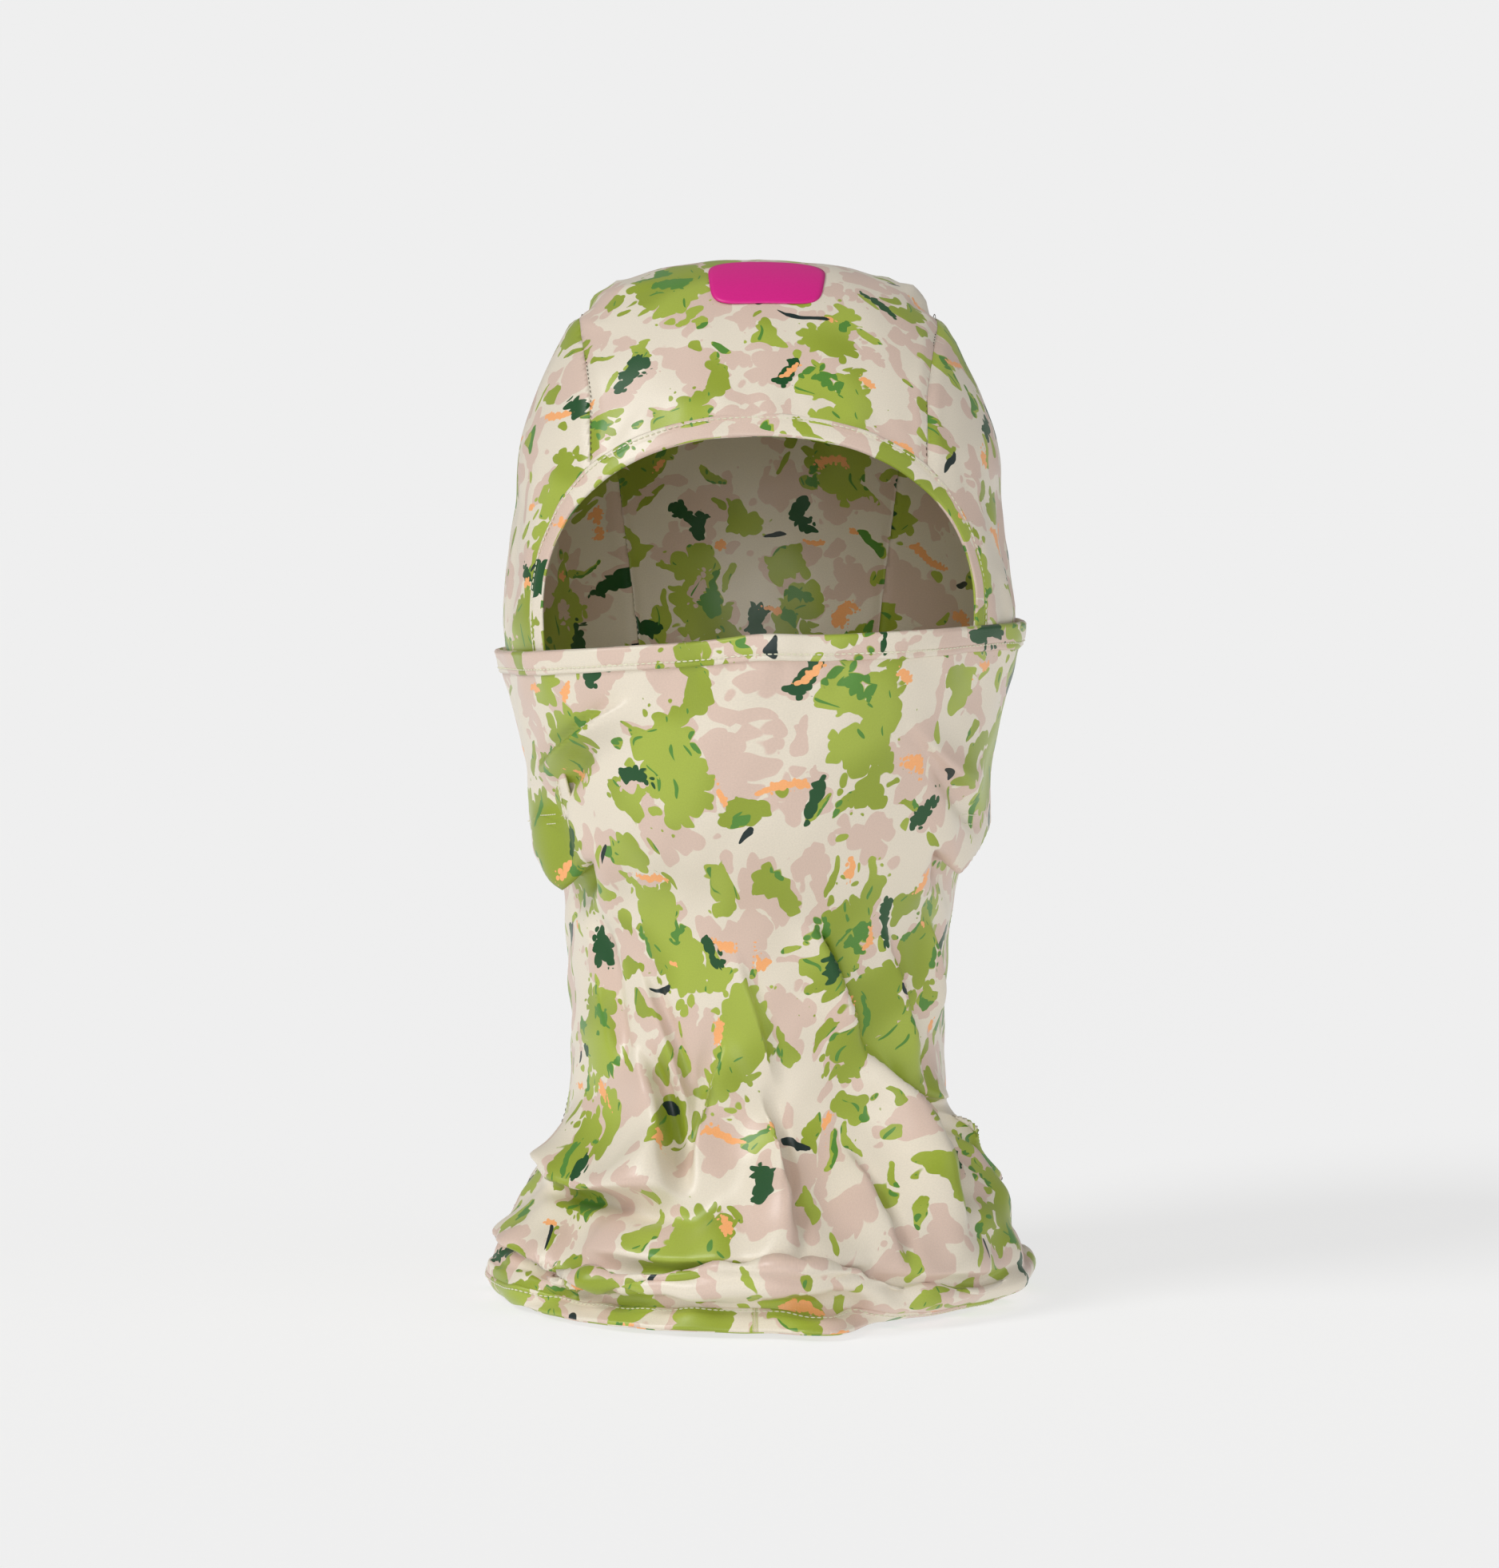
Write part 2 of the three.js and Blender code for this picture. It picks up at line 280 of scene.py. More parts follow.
def mesh_from(name, points, faces, uv):
    mesh = bpy.data.meshes.new(name)
    mesh.from_pydata(points.tolist(), [], faces)
    mesh.update()
    layer = mesh.uv_layers.new(name="cloth")
    corner = np.zeros(len(mesh.loops), int)
    mesh.loops.foreach_get("vertex_index", corner)
    layer.data.foreach_set("uv", uv[corner].astype(np.float32).ravel())
    mesh.polygons.foreach_set("use_smooth", np.ones(len(mesh.polygons), bool))
    return mesh


def face_outwards(mesh, middle):
    """Turns the faces over if most of them look towards the middle."""
    centre = np.zeros(len(mesh.polygons) * 3)
    normal = np.zeros(len(mesh.polygons) * 3)
    area = np.zeros(len(mesh.polygons))
    mesh.polygons.foreach_get("center", centre)
    mesh.polygons.foreach_get("normal", normal)
    mesh.polygons.foreach_get("area", area)
    away = centre.reshape(-1, 3) - middle
    if ((away * normal.reshape(-1, 3)).sum(1) * area).sum() < 0:
        mesh.flip_normals()


def grid_faces(rows, columns, closed=False):
    faces = []
    for i in range(rows if closed else rows - 1):
        k = (i + 1) % rows
        for j in range(columns - 1):
            a, d = i * columns + j, k * columns + j
            faces.append((a, a + 1, d + 1, d))
    return faces


def walled(name, mesh, middle, thickness=CLOTH):
    """A thin closed piece of cloth from its outer face."""
    face_outwards(mesh, middle)
    obj = link(name, mesh)
    wall = obj.modifiers.new("wall", "SOLIDIFY")
    wall.thickness = thickness
    wall.offset = -1
    return applied(obj)


def cloth_piece(name, grid, uv):
    """Cloth from a grid of points on its outer face."""
    faces = grid_faces(*grid.shape[:2])
    mesh = mesh_from(name, grid.reshape(-1, 3), faces, uv.reshape(-1, 2))
    return walled(name, mesh, np.array([0, 0, grid[..., 2].mean()]))


def cloth_uv(across, along):
    return np.stack(np.meshgrid(across, along, indexing="ij"), -1)


def hem_piece(name, grid, normal, uv, height, width, groove, closed=False):
    """A folded hem. The grid runs along the hem and across it, from the folded edge inwards."""
    rows, columns = grid.shape[:2]
    across = np.linspace(0, width, columns)
    rise = height * np.sqrt(1 - (1 - np.clip(across / height, 0, 1)) ** 2)
    end = np.clip((width - across) / (0.6 * height), 0, 1)
    rise = rise * (0.35 + 0.65 * np.sqrt(1 - (1 - end) ** 2))
    outer = rise - 0.35 * MM * bump(across, groove, 0.7 * MM)
    top = grid + normal * outer[None, :, None]
    under = (grid - normal * rise[None, :, None])[:, ::-1]
    section = np.concatenate([top, under[:, :-1]], axis=1)
    flat = np.concatenate([uv, uv[:, ::-1][:, :-1]], axis=1)
    ring = section.shape[1]
    faces = []
    for i in range(rows if closed else rows - 1):
        k = (i + 1) % rows
        for j in range(ring):
            m = (j + 1) % ring
            faces.append((i * ring + j, i * ring + m, k * ring + m, k * ring + j))
    if not closed:
        faces.append(tuple(range(ring))[::-1])
        faces.append(tuple((rows - 1) * ring + j for j in range(ring)))
    mesh = mesh_from(name, section.reshape(-1, 3), faces, flat.reshape(-1, 2))
    obj = link(name, mesh)
    if signed_volume(mesh) < 0:
        mesh.flip_normals()
    return obj


def signed_volume(mesh):
    mesh.calc_loop_triangles()
    total = 0.0
    for t in mesh.loop_triangles:
        a, b, c = (mesh.vertices[i].co for i in t.vertices)
        total += a.dot(b.cross(c))
    return total


def capped(points, rows, columns, tip):
    """The points and triangles of a closed grid whose last ring meets in a tip."""
    quads = np.array(grid_faces(rows, columns, closed=True))
    ring = np.arange(rows) * columns + columns - 1
    fan = np.stack([ring, np.full(rows, len(points)), np.roll(ring, -1)], 1)
    return (np.concatenate([points, [tip]]),
            np.concatenate([quads[:, [0, 1, 2]], quads[:, [0, 2, 3]], fan]))


def keep_where(points, uv, faces, field):
    """The part of a mesh of triangles where the field is above zero, cut along its zero line."""
    within = field > 0
    count = within[faces].sum(1)
    kept = [faces[count == 3]]
    made, new_points, new_uv = {}, [], []

    def crossing(i, j):
        key = (min(i, j), max(i, j))
        if key not in made:
            t = np.clip(field[i] / (field[i] - field[j]), 0.03, 0.97)
            made[key] = len(points) + len(new_points)
            new_points.append(points[i] + t * (points[j] - points[i]))
            new_uv.append(uv[i] + t * (uv[j] - uv[i]))
        return made[key]

    cut = []
    for face in faces[(count == 1) | (count == 2)]:
        while within[face[0]] != (within[face].sum() == 1) or within[face[1]] == within[face[0]]:
            face = np.roll(face, 1)
        a, b, c = (int(i) for i in face)
        if within[face].sum() == 1:
            cut.append((a, crossing(a, b), crossing(a, c)))
        else:
            ab, ac = crossing(a, b), crossing(a, c)
            cut += [(ab, b, c), (ab, c, ac)]
    if cut:
        kept.append(np.array(cut))
        points = np.concatenate([points, new_points])
        uv = np.concatenate([uv, new_uv])
    faces = np.concatenate(kept)
    used, place = np.unique(faces, return_inverse=True)
    return points[used], uv[used], place.reshape(-1, 3)


def cut_piece(name, points, uv, faces, thickness=CLOTH):
    return walled(name, mesh_from(name, points, faces.tolist(), uv), HEAD_CENTRE, thickness)


# ---- The hood: a crown strip and two side panels over the head ----
CROWN_SEAM = ((0, 60), (45, 61), (75, 66), (100, 66), (180, 52), (230, 42))   # degrees, mm
OPENING_WIDEST = 258 * MM
OPENING_HALF = 78 * MM
OPENING_HALF_AT_JAW = 66 * MM
ARCH_ROUND = 2.2
ARCH_REACH = 65 * MM            # turns the arch's own measure into a rough distance
CROWN_AXIS = 0.28               # height of the axis that angles over the head turn about
NAPE_HEIGHT, NAPE_SLOPE, NAPE_START = 0.180, 0.198, -0.0445


def over_head(point):
    """The angle of a point from straight ahead, over the top and down the back, in degrees."""
    angle = np.degrees(np.arctan2(point[..., 2] - CROWN_AXIS, -point[..., 1]))
    return np.where(angle < -90, angle + 360, angle)


def seam_half_width(degrees):
    return np.interp(degrees, *zip(*CROWN_SEAM)) * MM


def crown_half_width(point):
    return seam_half_width(over_head(point))


def opening_half_width(z):
    t = np.clip((OPENING_WIDEST - z) / (OPENING_WIDEST - jaw), 0, 1)
    return OPENING_HALF - (OPENING_HALF - OPENING_HALF_AT_JAW) * t ** 1.6


def outside_opening(point):
    """Above zero outside the face opening, in metres near its edge."""
    x, z = np.abs(point[..., 0]), point[..., 2]
    leg = x - opening_half_width(z)
    up = np.clip((z - OPENING_WIDEST) / (brow - OPENING_WIDEST), 0, None)
    arch = ((x / OPENING_HALF) ** ARCH_ROUND + up ** ARCH_ROUND) ** (1 / ARCH_ROUND) - 1
    field = np.where(z > OPENING_WIDEST, arch * ARCH_REACH, leg)
    return np.where(point[..., 1] < 0, field, 0.05)


def nape_level(y):
    return NAPE_HEIGHT - NAPE_SLOPE * (y - NAPE_START)


def above_nape(point):
    return point[..., 2] - nape_level(point[..., 1])


def seam_dip(distance, place):
    """A sewn groove with a soft swell on each side and the pucker that the stitches pull."""
    depth, width = 0.7 * MM, 1.5 * MM
    groove = -depth * bump(distance, 0, width)
    swell = 0.35 * depth * bump(np.abs(distance), 2.6 * width, width)
    pucker = 0.3 * depth * np.sin(place / 0.0042) * bump(distance, 0, 3.5 * width)
    return groove + swell + pucker


def strokes(point, rows):
    """Folds drawn as strokes in the front view: start, end, width and height in millimetres."""
    total = np.zeros(point.shape[:-1])
    for start, end, width, height in rows:
        start, end = np.array(start) * MM, np.array(end) * MM
        run, flat = end - start, point[..., [0, 2]] - start
        along = np.clip((flat @ run) / (run @ run), 0, 1)
        away = np.linalg.norm(flat - along[..., None] * run, axis=-1)
        ends = smooth(along, -0.05, 0.3) * (1 - smooth(along, 0.7, 1.05)) * 0.8 + 0.2
        total += height * MM * bump(away, 0, width * MM) * ends
    return total


STEEP = 0.34                    # how wide a fold's steep side is beside its gentle one
HANG = 0.6                      # how far a fold slides over its foot, as a share of its height


def folds(point, rows):
    """Folds drawn as strokes that are gentle on their left and steep on their right.

    Gives the rise, and the slide in the front view that hangs each fold over its foot.
    """
    rise = np.zeros(point.shape[:-1])
    slide = np.zeros(point.shape)
    for start, end, width, height in rows:
        start, end = np.array(start) * MM, np.array(end) * MM
        run = end - start
        long = np.linalg.norm(run)
        run /= long
        flat = point[..., [0, 2]] - start
        along = (flat @ run) / long
        aside = flat @ np.array([-run[1], run[0]])
        near = width * MM * np.where(aside > 0, 1, STEEP)
        ends = smooth(along, -0.12, 0.35) * (1 - smooth(along, 0.62, 1.15))
        lift = height * MM * bump(aside, 0, near) * ends
        foot = 0.35 * height * MM * bump(aside, -0.75 * width * MM, 0.3 * width * MM)
        rise += lift - foot * ends
        slide[..., 0] += HANG * lift * run[1]
        slide[..., 2] -= HANG * lift * run[0]
    return rise, slide


CROWN_PUCKERS = (
    ((-71, 371), (-58, 377), 2.8, 4.0),
    ((-72, 365), (-60, 370), 1.8, -2.2),
    ((-55, 372), (-36, 378), 2.2, 1.2),
    ((-69, 362), (-56, 361), 2.2, 1.0),
    ((-60, 384), (-50, 376), 2.4, 1.2),
    ((66, 372), (53, 378), 2.6, 3.2),
    ((68, 366), (56, 371), 1.8, -1.8),
    ((60, 383), (44, 379), 2.6, 1.2),
    ((74, 352), (66, 364), 2.2, 0.9),
)
SIDE_FOLDS = (
    ((-86, 262), (-80, 300), 3.0, 0.9),
    ((-92, 248), (-86, 285), 2.6, -0.8),
    ((84, 250), (80, 292), 2.8, 1.0),
    ((92, 262), (84, 312), 3.0, -0.9),
    ((94, 250), (88, 276), 2.2, 1.1),
)


def hood_surface():
    columns, rows = 360, 150
    around = np.linspace(0, 2 * math.pi, columns, endpoint=False)
    rise = np.linspace(math.radians(-52), math.pi / 2 - 0.004, rows)
    a, b = np.meshgrid(around, rise, indexing="ij")
    direction = np.stack([np.sin(a) * np.cos(b), -np.cos(a) * np.cos(b), np.sin(b)], -1)
    point = cast(HEAD_CENTRE, direction)
    normal = normals_of(point, closed=True)
    seam = np.abs(point[..., 0]) - crown_half_width(point)
    rise = seam_dip(seam, over_head(point) * 0.0018)
    rise += np.where(point[..., 1] < 0.03, strokes(point, CROWN_PUCKERS + SIDE_FOLDS), 0)
    rise += 0.5 * MM * waves(point, 0.075, 3) + 0.18 * MM * waves(point, 0.02, 4)
    rise += seam_dip(above_nape(point), a * NECK_RADIUS) * (point[..., 1] > 0)
    edge = outside_opening(point)
    rise += 0.35 * MM * np.sin(a * 34) * bump(edge, 0.0125, 0.004) * (point[..., 2] > 0.25)
    return point + normal * rise[..., None]


def make_hood():
    point = hood_surface()
    flat, faces = capped(point.reshape(-1, 3), *point.shape[:2], point[:, -1].mean(0))
    crown_uv = np.stack([flat[:, 0], np.radians(over_head(flat)) * 0.105], 1)
    side_uv = np.stack([flat[:, 1], flat[:, 2]], 1)
    seam_gap = 0.05 * MM
    made = []
    for name, uv, side in (("crown_cloth", crown_uv, 0), ("left_side_cloth", side_uv + 0.31, -1),
                           ("right_side_cloth", side_uv * (-1, 1) + (0.52, 0.17), 1)):
        p, t, f = flat, uv, faces
        p, t, f = keep_where(p, t, f, above_nape(p) - seam_gap)
        p, t, f = keep_where(p, t, f, outside_opening(p))
        past_seam = side * p[:, 0] - crown_half_width(p)
        if side == 0:
            past_seam = crown_half_width(p) - np.abs(p[:, 0])
        p, t, f = keep_where(p, t, f, past_seam - seam_gap)
        made.append(cut_piece(name, p, t, f))
    return made


def opening_edge(count=300):
    """The opening's edge in the front view, from one jaw end over the arch to the other."""
    legs = 60
    z = np.linspace(jaw + 2 * MM, OPENING_WIDEST, legs, endpoint=False)
    left = np.stack([-opening_half_width(z), z], 1)
    side, up = rounded(np.linspace(math.pi, 0, count), 2 / ARCH_ROUND)
    arch = np.stack([OPENING_HALF * side, OPENING_WIDEST + (brow - OPENING_WIDEST) * up], 1)
    right = left[::-1] * (-1, 1)
    edge = np.concatenate([left, arch, right])
    return even(face_point(edge[:, 0], edge[:, 1]), 1.6 * MM)


OPENING_MIDDLE = np.array([0, 0, 250]) * MM
FACE_HEM = 8.5 * MM
FACE_STITCH = 6.4 * MM


def make_face_hem():
    edge = opening_edge()
    out = np.cross(unit(np.gradient(edge, axis=0)), unit(edge - HEAD_CENTRE))
    out = unit(-out if (out * (edge - OPENING_MIDDLE)).sum() < 0 else out)
    steps = np.linspace(0, FACE_HEM, 12)
    grid = on_skin(edge[:, None] + out[:, None] * (steps - 0.4 * MM)[None, :, None])
    normal = unit(grid - HEAD_CENTRE)
    ripple = 0.25 * MM * waves(grid, 0.016, 9)
    grid = grid + normal * ripple[..., None]
    uv = np.stack([grid[..., 0] * 0.9 + 0.07, grid[..., 2] + 0.09], -1)
    hem = hem_piece("face_opening_band", grid, normal, uv, 0.75 * MM, FACE_HEM, FACE_STITCH)
    return hem, on_skin(edge + out * FACE_STITCH, 0.75 * MM)


# ---- The neck tube, from the jaw down to the folds on the table ----
NECK_RADIUS = 0.09              # for measuring along the nape's stitches
CLOTH_RADIUS = 0.086            # for laying the print out round the neck
TUBE_TOP = 0.150
TUBE_COLUMNS = 72
TUBE_ROWS = 40
FINER = 4                       # finished steps per cell of the profile
LOWEST = 1.8 * MM               # the cloth's outer face where it lies on the table
# How the tube is laid: millimetres outside its top ring, and height.
NECK_LINE = ((0, 150), (-2, 141), (-3.4, 132), (-4.2, 120), (-4.6, 104), (-4.4, 88), (-3, 74),
             (0.5, 62), (6, 52), (12, 42.5), (18.5, 33), (23.5, 24), (26, 15))
TUCKED_END = ((29.5, 25), (31.5, 20), (30, 16.2), (23.5, 14.4), (19.5, 12.2), (21, 8.6),
              (25.5, 5), (28.5, 2.4))
PLAIN_END = ((27, 15), (28.2, 11), (28.6, 8), (28.4, 6), (27.6, 4.6), (26.6, 3.6), (25.8, 2.8),
             (25.2, 2.2))
UNDER_END = ((28, 14), (29.4, 10), (28.6, 6.8), (26, 4.6), (22.5, 3.4), (19, 2.8), (16, 2.4),
             (13.5, 2.2))
# Angles from the front in degrees, and how far the cloth there hangs over its hem, or lies on it.
TUCK = ((-180, 0.2, 0.5), (-130, 0.3, 0.5), (-100, 0.1, 0.1), (-62, 0.0, 0.0), (-42, 0.9, 0.0),
        (0, 1.0, 0.0), (18, 0.9, 0.1), (29, 0.2, 0.8), (50, 0.1, 0.9), (80, 0.0, 0.75),
        (110, 0.2, 0.4), (180, 0.2, 0.5))


def laid_column(angle):
    """One column of the tube as it is laid on the form, from its top to its hem."""
    degrees = math.degrees(math.atan2(math.sin(angle), math.cos(angle)))
    turns, *shares = zip(*TUCK)
    over, under = (np.interp(degrees, turns, share) for share in shares)
    end = over * np.array(TUCKED_END) + under * np.array(UNDER_END) \
        + (1 - over - under) * np.array(PLAIN_END)
    line = np.concatenate([NECK_LINE, end])
    height = line[:, 1]
    spread = 1 - smooth(height, 45, 75)
    swing = 3.0 * np.sin(2 * angle + 0.6) + 2.6 * np.sin(5 * angle + 2.2) + 1.6 * np.sin(9 * angle)
    line[:, 0] += spread * swing * smooth(height, 0, 14) * 0.8
    line[:, 0] -= 5.5 * max(0.0, math.cos(angle)) ** 2 * smooth(height, 40, 75) \
        * (1 - np.exp(-np.clip(150 - height, 0, None) / 16))
    low = (1 - smooth(height, 60, 90)) * smooth(height, 8, 20)
    line[:, 1] += 3.0 * low * np.sin(3 * angle + 1.0)
    lip = bump(degrees, 13, 7)                             # the hem's lip at the front
    line[-4:, 0] += 9.0 * lip * np.array([0.2, 0.5, 0.9, 1.0])
    line = through(line * MM, 6)
    far = lengths(line)
    at = np.linspace(0, far[-1], TUBE_ROWS)
    offset, z = (np.interp(at, far, line[:, k]) for k in (0, 1))
    side, front, back = reach(TUBE_TOP)
    depth = front if math.cos(angle) > 0 else back
    return np.stack([(side + offset) * math.sin(angle), -(depth + offset) * math.cos(angle), z], 1)


def laid_tube():
    """The tube as it is laid on the form and the table: columns of points from top to hem."""
    around = np.linspace(0, 2 * math.pi, TUBE_COLUMNS, endpoint=False)
    tube = np.array([laid_column(angle) for angle in around])
    tube = through(tube, FINER, closed=True)
    tube = np.swapaxes(through(np.swapaxes(tube, 0, 1), FINER), 0, 1)
    outward = normals_of(tube, closed=True)
    held = 1 - smooth(tube[..., 2], 0.138, 0.150)
    lying = smooth(tube[..., 2], 0.002, 0.012)
    moved = tube.copy()
    for turn in (0, *BACK_TURNS):
        rows, near = (BACK_FOLDS, (0.035, 0.055)) if turn else (BASE_FOLDS, (0.005, 0.025))
        spin = np.array(Matrix.Rotation(math.radians(turn), 3, "Z"))
        turned = tube @ spin
        ahead = (smooth(-turned[..., 1], *near) * held)[..., None]
        rise, slide = folds(turned, rows)
        moved += (outward * (rise * (0.3 + 0.7 * lying))[..., None] + slide @ spin.T) * ahead
    low = smooth(-moved[..., 2], -0.075, -0.03) * lying
    moved += outward * ((2.2 * waves(tube * (1, 1, 0.7), 0.045, 41)
                         + 0.9 * waves(tube, 0.020, 42)) * MM * low)[..., None]
    moved[..., 2] = np.maximum(moved[..., 2], LOWEST)
    return moved


# Folds as strokes in the front view, in millimetres: start, end, width and height.
BASE_FOLDS = (
    ((-84, 53), (-24, 50), 12.0, 18.0),      # the big lobe on the left, which hangs over
    ((-32, 48), (-46, 98), 9.0, 12.0),       # the crease at its right
    ((-94, 61), (-66, 57), 7.5, 6.0),        # the roll at the left
    ((-104, 30), (-58, 17), 7.5, 8.0),
    ((-11, 100), (-21, 50), 9.0, 6.0),
    ((10, 30), (0, 82), 8.0, 7.5),
    ((72, 30), (38, 96), 8.0, 8.5),
    ((50, 22), (30, 62), 7.0, 4.5),
    ((98, 26), (68, 70), 7.0, 8.0),
    ((54, 85), (86, 70), 7.5, 6.5),          # the shelf at the right
    ((-52, 84), (-66, 150), 8.0, 6.5),       # long soft folds down the neck
    ((-26, 76), (-46, 132), 6.0, 5.0),
    ((6, 84), (-10, 134), 6.0, 3.2),
    ((36, 94), (14, 152), 5.5, 6.0),
    ((56, 84), (44, 142), 6.0, 4.4),
    ((66, 100), (63, 146), 5.0, 3.4),
    ((-64, 28), (2, 30), 9.0, 6.5),          # the fold that hangs over the hem
    ((-6, 28), (44, 27), 8.0, 5.0),
    ((36, 24), (98, 17), 7.0, 3.0),
)
BACK_FOLDS = (
    ((-44, 76), (-6, 30), 9.0, 7.0),
    ((-20, 46), (26, 16), 7.0, 5.0),
    ((20, 72), (42, 30), 7.0, 4.6),
)
BACK_TURNS = (105, 160, 218)    # where the folds at the back are set, in degrees from the front
FLAPS = ((-69.5, 158.5), (71.5, 164.0))   # the tips of the cheek cloth folded over at the jaw: x, z
FRONT_FOLDS = (
    # left cheek: ridge, the crease under it, and the flap over the jaw
    ((-48, 222), (-76, 200), 5.2, 1.6),
    ((-58, 211), (-76, 188), 3.2, -4.4),
    ((-76, 192), (-68, 164), 2.6, -3.6),
    ((-80, 188), (-71, 158), 5.0, 2.2),
    ((-65, 170), (-63, 152), 2.8, -6.4),
    ((-60, 176), (-52, 138), 5.0, 2.0),
    # right cheek
    ((52, 214), (80, 192), 5.0, 1.8),
    ((62, 204), (79, 180), 3.2, -3.2),
    ((82, 186), (75, 163), 5.0, 1.8),
    ((67, 174), (66, 157), 2.8, -6.0),
    ((64, 182), (58, 146), 5.0, 1.8),
)
CHEEK_FOLDS = (
    ((-46, 226), (-79, 199), 6.0, 4.6),      # the cheek ridge
    ((54, 220), (79, 193), 6.0, 3.4),
)
FRONT_END = math.radians(97)    # the side seams, from straight ahead
MASK_END = math.radians(106.5)  # the mask's rear edge at its hem
MASK_LIFT = 2.6 * MM
MASK_ROWS = 66
BOTTOM_HEM = 9 * MM
HEM_STEPS = 13                  # points across a hem
FLAP_DROOP = 6.5 * MM
SEAM_LIFT = 0.05 * MM


def mask_top_at(x):
    """The height of the mask's top edge: higher over the nose and at the right ear."""
    share = x / 0.095
    return mask_top + (1.1 + 5.5 * share - 1.6 * share ** 2 + 1.6 * bump(share, 0, 0.16)) * MM


def upper_front(columns):
    """The mask and the front of the throat, from the mask's top edge down to the tube."""
    grid = np.zeros((len(columns), MASK_ROWS, 3))
    for j, share in enumerate(np.linspace(0, 1, MASK_ROWS)):
        base = TUBE_TOP + (mask_top - TUBE_TOP) * (1 - share)
        end = FRONT_END + (MASK_END - FRONT_END) * smooth(base, 0.160, 0.235)
        angle = columns * end / FRONT_END
        x = on_form(angle, np.full(len(columns), base))[:, 0]
        z = TUBE_TOP + (mask_top_at(x) - TUBE_TOP) * (1 - share)
        lift = MASK_LIFT * smooth(z, 0.150, 0.172)
        grid[:, j] = on_form(angle, z, lift)
    return grid


def front_detail(point, normal):
    """Folds on the outside of the mask and the neck's front."""
    z = point[..., 2]
    facing = smooth(-point[..., 1], -0.035, -0.01)
    rise, slide = folds(point, CHEEK_FOLDS)
    rise = (rise + strokes(point, FRONT_FOLDS)) * facing
    nose = bump(point[..., 0], 0, 0.011) * smooth(z, 0.214, 0.244)
    rise += 2.0 * MM * nose * facing
    rise += 1.1 * MM * waves(point * (1, 1, 0.45), 0.05, 21) * smooth(z, 0.02, 0.06)
    rise += 0.35 * MM * waves(point, 0.018, 22)
    top = mask_top_at(point[..., 0]) - z
    rise += 0.5 * MM * np.sin(point[..., 0] * 520 + 3 * np.sin(point[..., 0] * 60)) \
        * bump(top, 0.0135, 0.006)
    droop = np.zeros(z.shape)
    for x, level in FLAPS:
        out = (point[..., 0] - x * MM) * np.sign(x)
        beside = bump(out, 0, np.where(out > 0, 0.016, 0.0065)) * facing
        above = z - level * MM - np.where(out > 0, 1.15, -0.9) * out
        over = smooth(above, -0.001, 0.004) * bump(np.clip(above, 0, 1), 0, 0.016)
        under = smooth(above, -0.022, -0.004) * (1 - smooth(above, -0.001, 0.003))
        droop += FLAP_DROOP * beside * over
        rise += (3.2 * over - 4.4 * under) * MM * beside
    moved = point + normal * rise[..., None] + slide * facing[..., None]
    moved[..., 2] -= droop
    return moved


def front_sheet(fine, picked, step, row_step):
    """The mask and the neck's front as one grid, with its normals, its UV and the join's column."""
    upper = upper_front(picked * step)
    front = np.concatenate([upper[:, :-1], fine[picked]], axis=1)
    join = upper.shape[1] - 1
    for _ in range(6):                                     # ease the join of the two stretches
        near = slice(join - 6, join + 7)
        middle = (front[:, join - 7:join + 6] + front[:, join - 5:join + 8]) / 2
        front[:, near] = 0.5 * front[:, near] + 0.5 * middle
    normal = normals_of(front)
    front = front_detail(front, normal)
    lap = smooth(np.abs(picked) * step, FRONT_END - 0.20, FRONT_END)[:, None]
    low = smooth(-front[..., 2], -0.165, -0.150)
    front += normal * (1.0 * MM * lap * low)[..., None]
    length = np.concatenate([np.linspace(0.090, 0, upper.shape[1])[:-1],
                             -row_step * np.arange(fine.shape[1])])
    return front, normal, cloth_uv(picked * step * CLOTH_RADIUS, length), join


def back_sheet(lower, angle):
    """The neck's back from the nape seam down, with its normals and the join's column."""
    shares = np.linspace(1, 0, 14)[:-1]
    upper = np.zeros((len(angle), len(shares), 3))
    for j, share in enumerate(shares):
        z = np.full(len(angle), TUBE_TOP)
        for _ in range(4):
            z = TUBE_TOP + share * (nape_level(on_form(angle, z)[:, 1]) - TUBE_TOP)
        upper[:, j] = on_form(angle, z)
    back = np.concatenate([upper, lower], axis=1)
    normal = normals_of(back)
    rise = 0.9 * MM * waves(back * (1, 1, 0.45), 0.05, 31) * smooth(back[..., 2], 0.02, 0.06)
    rise += 0.3 * MM * waves(back, 0.018, 32)
    rise *= smooth(back[..., 1], 0.012, 0.035)
    rise += seam_dip(above_nape(back), back[..., 0])
    return back + normal * rise[..., None], normal, len(shares)


